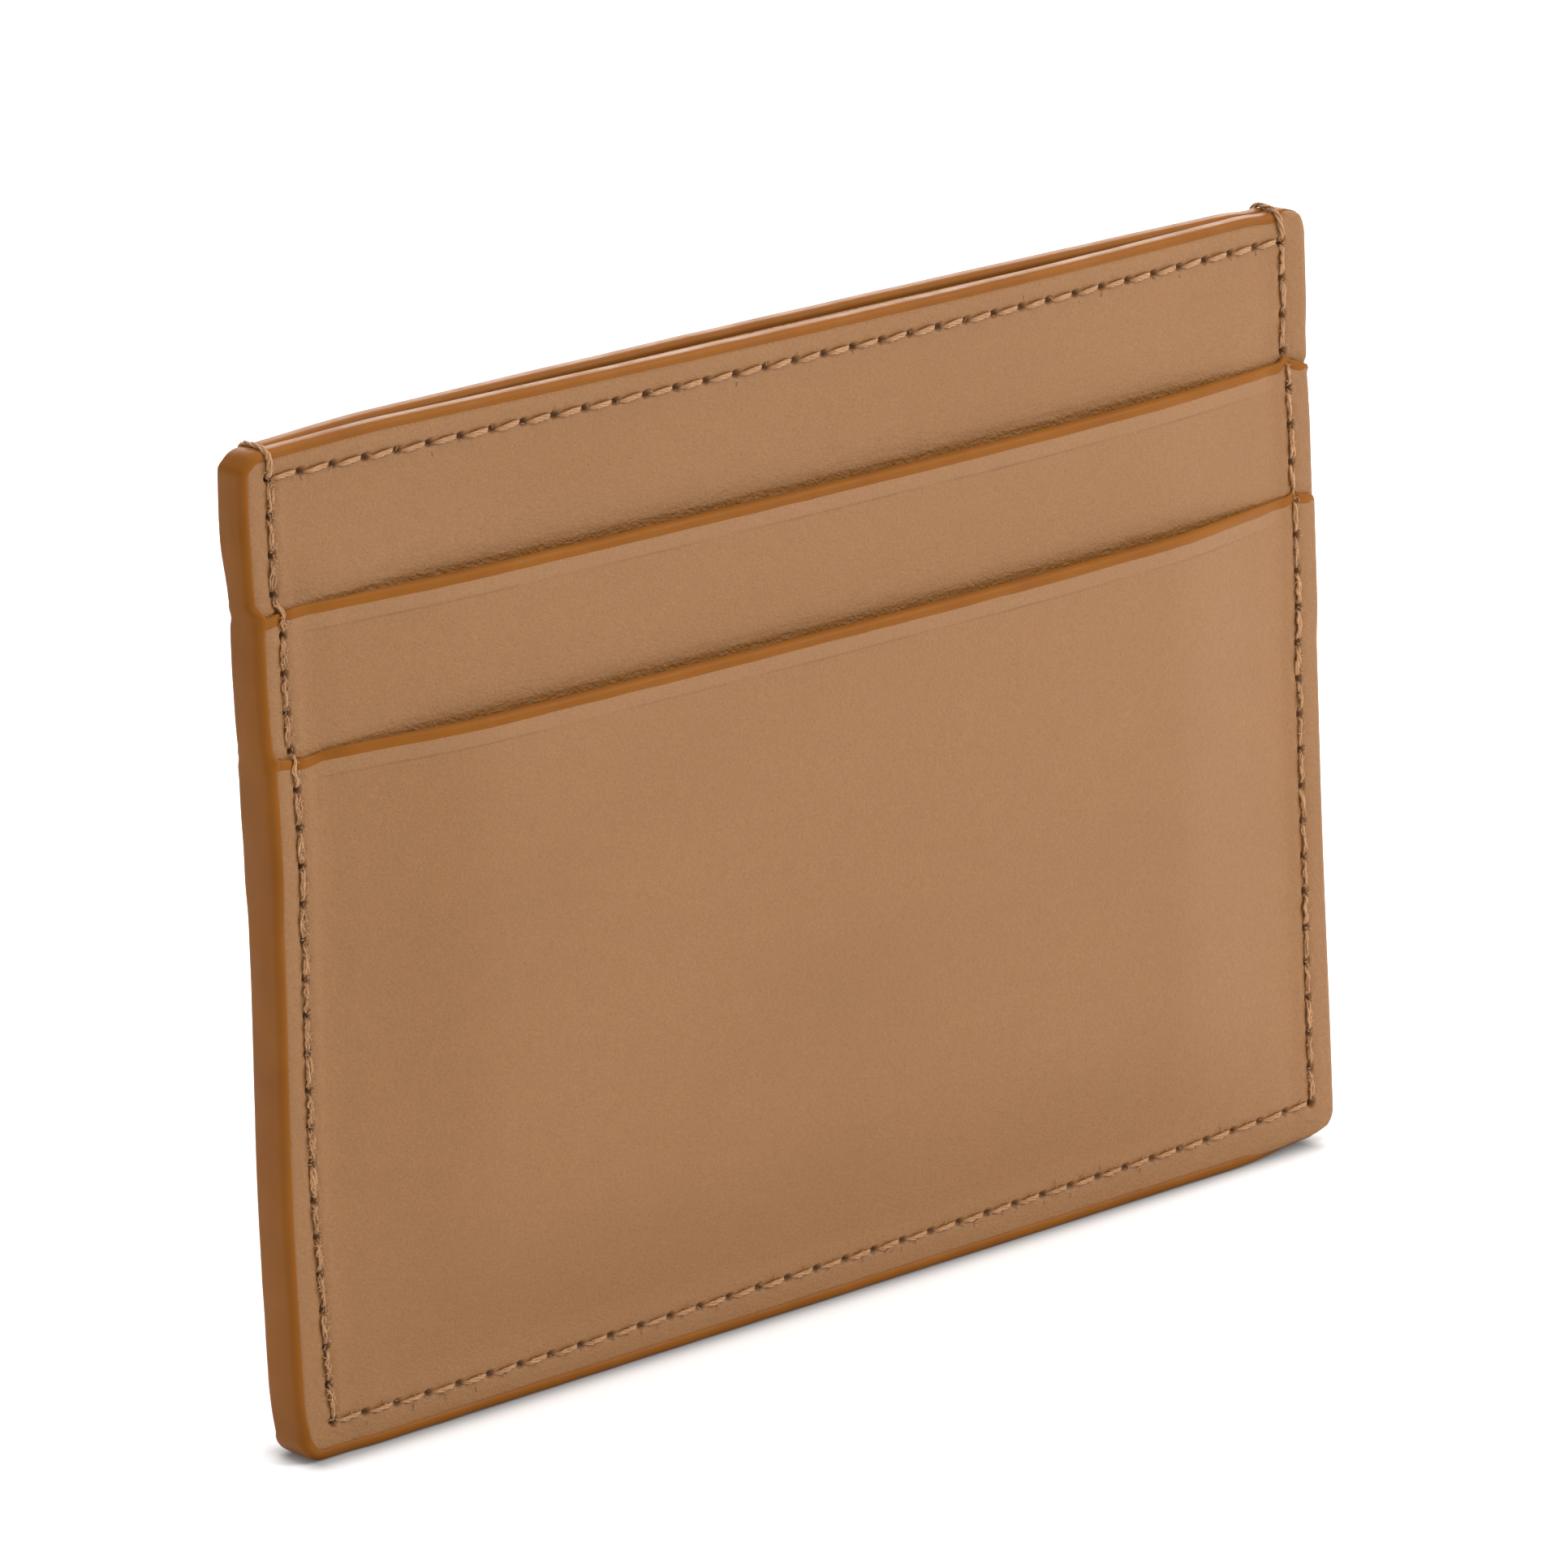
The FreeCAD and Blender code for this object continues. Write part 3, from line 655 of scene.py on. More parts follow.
def cement_material():
    n = Nodes("dried_cement")
    cloud = n.noise(n.where(), 900, 3.0, 0.6)
    n.set(Base_Color=n.ramp(cloud, (0.3, (0.30, 0.20, 0.10)), (0.7, (0.42, 0.30, 0.16))), Roughness=0.5)
    n.set(Normal=n.bump(cloud, 0.00005, 0.5))
    return n.material


LEATHER = leather_material()
EDGE = paint_material("edge_paint_brown", 0.02)
# a lit copy of the edge paint: more sheen on the top edges only, for the pale highlight they catch
# (painted light)
TOP_EDGE = paint_material("edge_paint_brown_top_highlight", 0.15)
SUEDE = lining_material()
THREAD = thread_material()
CEMENT = cement_material()


def finish_piece(piece, slot, *nodes):
    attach(piece, "root")
    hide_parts(*nodes)


# ---- leather sheets

FINE_FROM = 47.0         # the lattice is finer from here outward, at the seams
SIDE_ZONES = [(-HALF, -FINE_FROM, 0.12), (FINE_FROM, HALF - 0.48, 0.12), (HALF - 0.48, HALF, 0.06)]
BODY_SHOWS = 61.0        # rows of the body panel above the upper mouth
TOP_BAND = 71.4          # and those at the top seam
FOOT_BAND = 5.2          # rows at the bottom seam
CREASE_DROP = 1.15       # a pressed line this far below the paint of each mouth
MOUTH_WRAP = 0.28        # paint on the face of the leather at a mouth
EDGE_WRAP = 0.04         # the same on the outer edges


def turning(x, z):
    """0 to 1 where the painted edge gives way to turned leather at the right."""
    return smooth(mix(40.0, 45.5, smooth(5, 20, z)), 50.2, x)


def edge_roll(x, z, top=True):
    """The cut edge is dressed: its corner is rounded over a little."""
    away = np.minimum(HALF + x, z - FOOT)
    if top:
        away = np.minimum(away, TOP - z)
    dressed = 0.07 * np.clip(1 - away / 0.55, 0, 1) ** 2
    short = np.maximum(1 - (HALF - x) / RIGHT_ROLL, (1 - away / RIGHT_ROLL) * turning(x, z))
    short = np.clip(short, 0, 1)
    turned = RIGHT_ROLL * (1 - np.sqrt(1 - 0.98 * short ** 2))
    return np.maximum(dressed, turned)


CURL_DEPTH = 3.0         # the sheet behind a mouth is bent down to this far below it


def mouth_curl(x, z, mouth):
    """The sheet behind a mouth bends in towards the slot, with small crinkles."""
    above = np.maximum(z - mouth, 0)
    open_part = field(x) ** 0.5
    curl = 0.12 * np.exp(-(above / 0.75) ** 1.5) * open_part
    crinkle = 0.030 * ripple(x / 0.55, z / 0.4, 5) + 0.022 * ripple(x / 0.32, z / 0.26, 6)
    crinkle = crinkle * bell(z - mouth - 0.5, 0.75) * (0.3 + 0.7 * open_part)
    return (curl + crinkle) * (z > mouth - CURL_DEPTH)


def slot_shade_and_edge_tint(x, z, mouth):
    """Painted shade where the leather goes down into a slot: the slot's part of the
    slot_shade_and_edge_tint layer.
    """
    patches = 1 + 0.25 * ripple(x / 0.5, z / 0.4, 14)
    return bell(np.maximum(z - mouth, 0), 0.36) * (0.45 + 0.55 * field(x) ** 0.5) * patches


def crease_height(mouth):
    return mouth - MOUTH_WRAP - CREASE_DROP


def crease_zone(crease):
    """The finer rows round a pressed line."""
    return crease - 0.35, crease + 0.35, 0.06


def crease_line(x, z, mouth):
    """A thin pressed line under a mouth, broken and fading towards the seams."""
    line = crease_height(mouth) + 0.05 * ripple(x / 6, 0, 9)
    strength = np.clip(0.6 + 0.6 * ripple(x / 4, 0, 11) + 0.25 * ripple(x / 0.9, 0, 12), 0.08, 1.0)
    strength = strength * (1 - smooth(45.5, 47.2, np.abs(x)))
    # groove also colours the leather darker along the line: painted shade
    groove = bell(z - line, 0.07) * strength
    # the raised strip above the line is coloured lighter: painted light
    lit_band = smooth(-0.05, 0.1, z - line) * (1 - smooth(45.5, 48, np.abs(x)))
    step = 0.05 * smooth(-0.1, 0.25, z - line) * (1 - smooth(0.3, 1.2, z - line)) * strength
    return 0.04 * groove - step, groove, lit_band


def hidden_channel(x, z, below):
    """Room under the seam where another sheet covers this one."""
    side = bell(np.abs(x) - SEAM_X, 0.75)
    foot = bell(z - bottom_seam(x), 0.75) * (np.abs(x) < SEAM_X)
    return 0.6 * np.maximum(side, foot) * (1 - smooth(below - 0.9, below - 0.5, z))


def body_panel(side_name, side):
    xs = ruler(-HALF, HALF, 0.22, SIDE_ZONES)
    zs = ruler(FOOT, TOP, 3.0, [
        (1.5, 5.0, 0.5), (BODY_SHOWS, TOP_BAND, 0.2),
        (UPPER_TOP + 0.2, UPPER_TOP + 2.2, 0.14), (TOP_BAND, TOP, 0.12)])
    X, Z = grid(xs, zs)
    press, hole_shade = seam_press(X, Z, ("left", "right", "top"))
    seen = smooth(UPPER_TOP - 0.4, UPPER_TOP, Z)
    mouth = UPPER_TOP + UPPER_BEAD
    press = press * seen + hidden_channel(X, Z, UPPER_TOP) + mouth_curl(X, Z, mouth) * seen
    outer = body_outer(X, Z, side) - press - edge_roll(X, Z)
    inner = outer - BODY
    # the leather is tinted just under the painted edge
    tint_and_shade = 0.55 * smooth(TOP - 0.36, TOP - 0.06, Z + 0.06 * ripple(X / 0.5, 0, 17))
    # the slot's painted shade joins the edge tint in one layer
    tint_and_shade = np.maximum(slot_shade_and_edge_tint(X, Z, mouth) * seen, tint_and_shade * (1 - turning(X, Z)))
    cols = thinned(xs, -FINE_FROM, FINE_FROM, 0.9)
    rows = thinned(zs, FOOT, BODY_SHOWS, 3.0)
    rows += [k for k, z in enumerate(zs) if BODY_SHOWS < z <= TOP_BAND]
    window = (cols[0], cols[-1], 0, max(k for k, z in enumerate(zs) if z <= TOP_BAND + 1e-6))
    piece = sheet_piece(
        f"{side_name}_body_leather", side, xs, zs, inner, outer, LEATHER,
        {"hole": hole_shade * seen, "crease": np.zeros_like(X), "lit_band": np.zeros_like(X), "slot_shade_and_edge_tint": tint_and_shade},
        window=window, cols=cols, rows=rows)
    finish_piece(piece, "calf_leather", f"{side_name}_body_panel")


def body_lining(side_name, side):
    xs = ruler(-HALF + 0.3, HALF - 0.3, 0.4)
    zs = ruler(FOOT + 0.2, TOP - 0.05, 3.0, [(66.0, TOP - 2.0, 0.8), (TOP - 2.0, TOP - 0.05, 0.12)])
    X, Z = grid(xs, zs)
    inner = body_inner(X, Z, side)
    outer = inner + LINING - squeeze(X, Z)
    # the raw nap stands out under the painted edge where the middle pocket is open
    nap = 0.30 + 0.12 * ripple(X / 0.7, Z / 0.3, 31) + 0.08 * ripple(X / 0.35, Z / 0.2, 32)
    inner = inner - nap * np.clip(gape(X, Z, side) * 0.9 - 0.1, 0, 1) * bell(Z - TOP + 0.5, 0.5)
    piece = sheet_piece(f"{side_name}_body_suede", side, xs, zs, inner, outer - 0.02, SUEDE)
    finish_piece(piece, "lining", f"{side_name}_body_lining")


def slot_lining(side_name, side, label, foot, top, behind):
    """The lining on the back of a pocket's leather, whose level is given by behind."""
    xs = ruler(-STEM_HALF, STEM_HALF, 2.0)
    zs = ruler(foot, top - 0.1, 3.0)
    X, Z = grid(xs, zs)
    outer = behind(X, Z) - 0.02
    inner = outer - 0.02 - 0.16 * field(X) * rise(Z)
    piece = sheet_piece(f"{side_name}_{label}_slot_suede", side, xs, zs, inner, outer, SUEDE)
    finish_piece(piece, "lining", f"{side_name}_{label}_pocket_lining")


def upper_pocket(side_name, side):
    xs = ruler(-HALF, HALF, 1.0, SIDE_ZONES + [
        (-STEM_HALF, -STEM_HALF + 0.1, 0.1), (STEM_HALF, STEM_HALF + 0.1, 0.1)])
    crease = crease_height(UPPER_TOP)
    zs = ruler(STEM_FOOT, UPPER_TOP, 3.0, [
        (ARM_BOTTOM, 51.0, 1.0), (51.0, UPPER_TOP, 0.2), (LOWER_TOP + 0.2, LOWER_TOP + 2.2, 0.14),
        crease_zone(crease)])
    X, Z = grid(xs, zs)
    seen = smooth(LOWER_TOP - 0.4, LOWER_TOP, Z)
    press, hole_shade = seam_press(X, Z, ("left", "right"))
    groove, mark, lit_band = crease_line(X, Z, UPPER_TOP)
    mouth = LOWER_TOP + LOWER_BEAD
    press = press * seen + hidden_channel(X, Z, LOWER_TOP) * 0.6 + mouth_curl(X, Z, mouth) * seen
    outer = upper_outer(X, Z, side) - press - groove - edge_roll(X, Z, top=False)
    inner = outer - upper_thick(X, Z)
    cell_x = 0.5 * (X[:-1, :-1] + X[1:, 1:])
    live = (Z[:-1, :-1] >= ARM_BOTTOM - 1e-6) | (np.abs(cell_x) < STEM_HALF)
    piece = sheet_piece(
        f"{side_name}_upper_leather", side, xs, zs, inner, outer, LEATHER,
        {"hole": hole_shade * seen, "crease": mark, "lit_band": lit_band, "slot_shade_and_edge_tint": slot_shade_and_edge_tint(X, Z, mouth) * seen},
        live=live, sag=mouth_sag(X, "upper") * smooth(UPPER_TOP - 2.2, UPPER_TOP, Z))
    finish_piece(piece, "calf_leather", f"{side_name}_upper_pocket")

    slot_lining(side_name, side, "upper", STEM_FOOT + 3.2, UPPER_TOP, lambda X, Z: (
        upper_outer(X, Z, side) - upper_thick(X, Z) - mouth_curl(X, Z, mouth)))


def lower_pocket(side_name, side):
    crease = crease_height(LOWER_TOP)
    xs = ruler(-HALF, HALF, 0.22, SIDE_ZONES)
    zs = ruler(FOOT, LOWER_TOP, 0.22, [(FOOT, FOOT_BAND, 0.13), crease_zone(crease)])
    X, Z = grid(xs, zs)
    press, hole_shade = seam_press(X, Z, ("left", "right", "bottom"))
    groove, mark, lit_band = crease_line(X, Z, LOWER_TOP)
    pulled = bell(np.abs(X) - 46.6, 1.7) * smooth(LOWER_TOP - 5, LOWER_TOP - 1.2, Z)
    press = press + 0.045 * ripple((Z - 0.5 * np.abs(X)) / 0.42, X / 2.4, 21) * pulled
    outer = lower_outer(X, Z, side) - press - groove - edge_roll(X, Z, top=False)
    inner = outer - lower_thick(X, Z)
    cols = thinned(xs, -FINE_FROM, FINE_FROM, 0.9)
    low_rows = thinned(zs, FOOT_BAND, crease - 0.5, 2.5)
    rows = low_rows + [k for k, z in enumerate(zs) if z > crease - 0.4]
    window = (cols[0], cols[-1], low_rows[0], len(zs) - 1)
    piece = sheet_piece(
        f"{side_name}_lower_leather", side, xs, zs, inner, outer, LEATHER,
        {"hole": hole_shade, "crease": mark, "lit_band": lit_band}, window=window, cols=cols, rows=rows,
        sag=mouth_sag(X, "lower") * smooth(LOWER_TOP - 2.2, LOWER_TOP, Z))
    finish_piece(piece, "calf_leather", f"{side_name}_lower_pocket")

    slot_lining(side_name, side, "lower", STEM_FOOT, LOWER_TOP, lambda X, Z: (
        lower_outer(X, Z, side) - lower_thick(X, Z)))


# ---- painted edges


def arc(cx, cy, radius, start, end, steps):
    return [
        (cx + radius * math.cos(math.radians(a)), cy + radius * math.sin(math.radians(a)))
        for a in np.linspace(start, end, steps)]


def side_outline(hand):
    """Lattice places along one side's cut edge, from the top, round the foot corner."""
    stops = [(hand * v, TOP) for v in ruler(48.2, HALF, 0.18)[:-1]]
    zones = [
        (UPPER_TOP - 1.5, UPPER_TOP + 2, 0.2), (LOWER_TOP - 1.5, LOWER_TOP + 2, 0.2),
        (FOOT, 4.0, 0.18), (71.5, TOP, 0.18)]
    stops += [(hand * HALF, v) for v in ruler(FOOT, TOP, 0.8, zones)[::-1]]
    stops += [(hand * v, FOOT) for v in ruler(CORNER_CENTRE, HALF, 0.18)[::-1][1:]]
    return stops


def edge_sections(stops):
    """Sections of the paint over a cut edge that shows both faces of the holder."""
    places = np.array([[float(v) for v in rounded(x, z)] for x, z in stops])
    ahead = headings(places)
    outward = np.stack([ahead[:, 1], -ahead[:, 0]], -1)
    middle = np.array([0.0, (TOP + FOOT) / 2])
    if ((places - middle) * outward).sum(1).mean() < 0:
        outward = -outward
    sections = []
    for (x, z), at, out in zip(stops, places, outward):
        turned = float(turning(x, z))
        front, back = (float(edge_level(x, z, side)) + mix(0.03, -0.42, turned) for side in (-1, 1))
        wobble = 0.03 * float(ripple((x - z) / 2.5, 3.0, 2)) * (1 - turned)
        thicker = 0.06 * float(smooth(38, 46, z) * (1 - smooth(UPPER_TOP - 0.6, UPPER_TOP + 0.4, z)))
        wrap = mix(EDGE_WRAP + thicker + 0.02 * float(ripple((x - z) / 1.3, 0, 4)), 0.0, turned)
        paint = mix(PAINT, RIGHT_PAINT, turned)
        fillet = max(
            float(bell(z - top - 0.25 + drop, 0.5)) for top, drop in ((UPPER_TOP, 0.3), (LOWER_TOP, 0.0)))
        wrap = wrap + 0.3 * fillet * (1 - turned)
        front = front + 0.05 * fillet * (1 - turned)
        under = 1 - float(smooth(FOOT + 0.4, FOOT + 3, z))
        wrap = wrap + 0.28 * under * (1 - turned)
        radius = min(paint + wrap - 0.02, mix(2.0, 0.5, under))
        swell = 0.04 * float(smooth(FOOT, FOOT + 3, z)) * (1 - turned)
        profile = [(-wrap, front - 0.12), (-wrap + 0.005, front - 0.015)]
        profile += arc(paint - radius, front - radius, radius, 90, 0, 9)
        profile += [
            (paint + swell * 0.7, (front - radius) * 0.5), (paint + swell, 0.0),
            (paint + swell * 0.7, -(back - radius) * 0.5)]
        profile += arc(paint - radius, -(back - radius), radius, 0, -90, 9)
        profile += [
            (-wrap + 0.005, -(back - 0.015)), (-wrap, -(back - 0.12)),
            (-0.25, -(back - 0.5)), (-0.25, front - 0.5)]
        shift = float(lean(x, z))
        section = []
        for reach, level in profile:
            reach += wobble * (reach > 0.2)
            section.append((at[0] + out[0] * reach, shift - level, at[1] + out[1] * reach))
        sections.append(section)
    return np.array(sections) * MM


def coat(label, sections, material=EDGE):
    piece = sweep(f"{label}_coat", sections, material)
    finish_piece(piece, "edge_paint", f"{label}_paint")


def side_paint(side_name, hand):
    sections = edge_sections(side_outline(hand))
    if hand > 0:
        sections = sections[:, ::-1]
    coat(f"{side_name}_edge", sections)


def bottom_paint():
    stops = [(v, FOOT) for v in ruler(-CORNER_CENTRE, CORNER_CENTRE, 0.8)]
    coat("bottom_edge", edge_sections(stops))


def lip_sections(side, xs, z_top, bead, inner, outer, wrap_out, wrap_in, dips):
    """Sections of the paint over the free cut edge of one sheet, lowered by dips."""
    sections = []
    for k, x in enumerate(xs):
        lo, hi = inner[k] - 0.03, outer[k] + 0.05
        radius = min(0.42, (hi - lo) / 2 - 0.01, bead - 0.03)
        wob = 0.02 * float(ripple(x / 3.0, z_top, 8))
        ending = float(smooth(HALF - 0.9, HALF, x)) if bead < PAINT else 0.0
        hi = hi - 0.12 * ending
        top = (bead + wob) * (1 - 0.6 * ending)
        w = (wrap_out + 0.03 * float(ripple(x / 1.7, z_top, 6))) * (1 - 0.7 * ending)
        radius = min(radius, top - 0.02)
        profile = [(hi - 0.12, -w - 0.02), (hi - 0.05, -w), (hi - 0.02, -w + 0.05), (hi, -w * 0.3)]
        profile += [
            (hi - radius + radius * math.cos(a), top - radius + radius * math.sin(a))
            for a in np.linspace(0.05, math.pi / 2, 7)]
        profile += [((hi + lo) / 2, top + 0.02)]
        profile += [
            (lo + radius - radius * math.sin(a), top - radius + radius * math.cos(a))
            for a in np.linspace(0, math.pi / 2, 6)]
        profile += [(lo, -wrap_in), (lo + 0.1, -wrap_in - 0.02), ((hi + lo) / 2, -0.1)]
        sections.append([
            place(x, z_top, level, side) + np.array([0, 0, (up - dips[k]) * MM])
            for level, up in profile])
    sections = np.array(sections)
    return sections if side < 0 else sections[:, ::-1]


def top_paint(side_name, side):
    xs = ruler(-48.5, 48.5, 0.6)
    inner = body_inner(xs, TOP, side)
    outer = body_outer(xs, TOP, side) - 0.07
    sections = lip_sections(side, xs, TOP, PAINT, inner, outer, 0.1, 0.12, np.zeros_like(xs))
    coat(f"{side_name}_top_edge", sections, TOP_EDGE)


def mouth_paint(side_name, side, label, z_top, bead, outer_of, thick_of):
    xs = ruler(-HALF - 0.05, HALF - 0.01, 0.5, [
        (-HALF - 0.05, -46, 0.15), (46, HALF - 0.5, 0.15), (HALF - 0.5, HALF - 0.01, 0.06)])
    outer = outer_of(xs, z_top, side)
    inner = outer - thick_of(xs, z_top) - 0.2 * field(xs) * rise(z_top)
    press = seam_press(xs, np.full(xs.shape, z_top - 0.2), ("left", "right"))[0]
    dips = 0.12 * bell(xs + SEAM_X, 0.5) - mouth_sag(xs, label)
    outer = outer - np.clip(press, -0.05, 0.22) - edge_roll(xs, z_top, top=False)
    inner = np.minimum(inner, outer - 0.25)
    sections = lip_sections(side, xs, z_top, bead, inner, outer, MOUTH_WRAP, 0.15, dips)
    coat(f"{side_name}_{label}_mouth", sections)


# ---- cement films


def films():
    """Thin cement in the margins. It is hidden once the holder is closed."""
    def film(label, side, xs, zs, base, low, high, live):
        X, Z = grid(xs, zs)
        cx, cz = 0.5 * (X[:-1, :-1] + X[1:, 1:]), 0.5 * (Z[:-1, :-1] + Z[1:, 1:])
        level = base(X, Z)
        piece = sheet_piece(
            f"{label}_cement_film", side, xs, zs, level + low, level + high, CEMENT, live=live(cx, cz))
        finish_piece(piece, "cement", f"{label}_glue")

    edge, foot, strip = 49.4, 1.6, 4.5   # ends of the films, and the top of the strip at the foot
    margins = lambda X, Z: (np.abs(X) > MARGIN_EDGE) | (Z < strip)
    tee = lambda X, Z: (
        ((np.abs(X) > MARGIN_EDGE) & (Z > ARM_BOTTOM))
        | ((np.abs(X) < STEM_HALF - 0.2) & (Z < STEM_FOOT + 3)))
    wide = ruler(-edge, edge, 2.0, [
        (-MARGIN_EDGE, -MARGIN_EDGE + 0.5, 0.5), (MARGIN_EDGE, MARGIN_EDGE + 0.5, 0.5)])
    stem = ruler(-edge, edge, 2.0, [
        (-MARGIN_EDGE, -46.0, 0.5), (MARGIN_EDGE, 47.0, 0.5),
        (-STEM_HALF, -40.0, 0.5), (STEM_HALF - 0.5, STEM_HALF, 0.5)])
    foot_rows = [(strip, strip + 0.5, 0.5)]
    tee_rows = [(STEM_FOOT + 3, STEM_FOOT + 3.5, 0.5), (ARM_BOTTOM, ARM_BOTTOM + 0.5, 0.5)]
    film(
        "centre", -1, wide, ruler(foot, 73.4, 2.0, foot_rows), lambda X, Z: np.zeros_like(X),
        -0.04, 0.04, margins)
    for side_name, side in SIDES.items():
        base = lambda X, Z: body_outer(X, Z, side) - hidden_channel(X, Z, UPPER_TOP)
        film(
            f"{side_name}_upper", side, stem, ruler(STEM_FOOT, UPPER_TOP - 1, 2.0, tee_rows), base,
            -0.28, -0.2, tee)
        film(
            f"{side_name}_lower", side, wide, ruler(foot, LOWER_TOP - 1, 2.0, foot_rows), base,
            0.0, 0.04, margins)


# ---- thread


FIBRE = 0.028            # radius of a loose fibre


class Strands:
    """Collects tubes that make up one piece of thread."""

    def __init__(self):
        self.points, self.faces = [], []
        self.turn, self.run, self.sunk_shade = [], [], []

    def tube(self, path, radii, sunk_shade=None, around=8):
        path = np.asarray(path, float)
        n = len(path)
        ahead = headings(path)
        ref = np.array([0.0, 1.0, 0.0])
        first = len(self.points)
        length = np.concatenate([[0], np.cumsum(np.linalg.norm(np.diff(path, axis=0), axis=1))])
        seed = 13.7 * (first % 97)
        for k in range(n):
            u = np.cross(ahead[k], ref)
            if np.linalg.norm(u) < 1e-6:
                u = np.cross(ahead[k], np.array([1.0, 0.0, 0.0]))
            u /= np.linalg.norm(u)
            v = np.cross(u, ahead[k])
            for a in range(around):
                angle = 2 * math.pi * a / around
                self.points.append((path[k] + radii[k] * (math.cos(angle) * u + math.sin(angle) * v)) * MM)
                self.turn.append(4.0 * abs(a - around / 2) / around * 2 + seed)
                self.run.append(length[k] * 1.1 + seed)
                self.sunk_shade.append(0.0 if sunk_shade is None else sunk_shade[k])
        for k in range(n - 1):
            for a in range(around):
                b = (a + 1) % around
                self.faces.append([
                    first + k * around + a, first + k * around + b,
                    first + (k + 1) * around + b, first + (k + 1) * around + a])
        self.faces.append([first + a for a in range(around)][::-1])
        self.faces.append([first + (n - 1) * around + a for a in range(around)])

    def fibre(self, x, z, angles, length, side, lift, radius):
        """A loose hair over the leather that sets out from x, z and turns through the angles."""
        x = x + np.cumsum(np.cos(angles)) * length / 5
        z = z + np.cumsum(np.sin(angles)) * length / 5
        self.tube(surface(x, z, side, lift), np.full(len(angles), radius), around=5)

    def finish(self, name, node):
        piece = new_object(
            name, self.points, self.faces, THREAD,
            layers={"turn": self.turn, "run": self.run, "sunk_shade": self.sunk_shade})
        finish_piece(piece, "thread", node)


def twisted(strands, path, normals, ply, radius, plies, turns, taper, phase=0.0, flat=0.75, sunk_shade=None):
    """Plies that wind round a centre line. The bundle is pressed flat along the normal."""
    normals = np.asarray(normals, float)
    ahead = headings(path)
    t = np.linspace(0, 1, len(path))
    for k in range(plies):
        angle = phase + 2 * math.pi * (turns * t + k / plies)
        across = np.cross(ahead, normals)
        offset = across * (np.cos(angle) * radius * taper)[:, None]
        offset += normals * (np.sin(angle) * radius * flat * taper)[:, None]
        strands.tube(path + offset, ply * (0.25 + 0.75 * taper), sunk_shade=sunk_shade)


def surface(x, z, side, lift):
    """A point in mm that stands lift above the outermost sheet."""
    return place(x, z, skin(x, z, side) + lift, side) / MM


STYLE = {
    # ply radius, bundle radius, plies, turns, rise of the middle, sink at the holes, slant
    "top": (0.088, 0.115, 4, 1.1, 0.11, -0.36, -0.10),
    "bottom": (0.088, 0.100, 3, 1.0, 0.07, -0.34, -0.07),
}


def stitch(strands, start, end, side, style, rng):
    ply, radius, plies, turns, lift, sink, slant = STYLE[style]
    n = 20
    t = np.linspace(0, 1, n)
    belly = np.sin(math.pi * t)
    x, z = between(start, end, mix(0.07, 0.93, t))
    length = math.hypot(end[0] - start[0], end[1] - start[1])
    nx, nz = -(end[1] - start[1]) / length, (end[0] - start[0]) / length
    swing = slant * np.cos(math.pi * t) * (1 + 0.3 * rng.uniform(-1, 1)) + 0.02 * rng.uniform(-1, 1)
    x, z = x + nx * swing, z + nz * swing
    height = mix(sink, lift + 0.02 * rng.uniform(-1, 1), np.clip(belly * 1.35, 0, 1) ** 0.62)
    height = height + 0.03 * ripple(t * 5 + rng.uniform(0, 50), 1.0, 2)
    path = surface(x, z, side, height)
    taper = np.clip(belly * 1.15, 0, 1) ** 0.6 * (1 + 0.1 * rng.uniform(-1, 1))
    # the ends are painted darker: shade where the thread dives into the holes
    sunk_shade = 1 - smooth(0.0, 0.16, np.minimum(t, 1 - t))
    twisted(
        strands, path, (0, side, 0), ply, radius, plies, turns * side, taper,
        phase=rng.uniform(0, 6.28), flat=0.7, sunk_shade=sunk_shade)


# strand thickness, spread of the strands, loose fibres per stitch
FRAY = {"left": (1.15, 1.25, 18), "right": (1.35, 1.1, 9)}


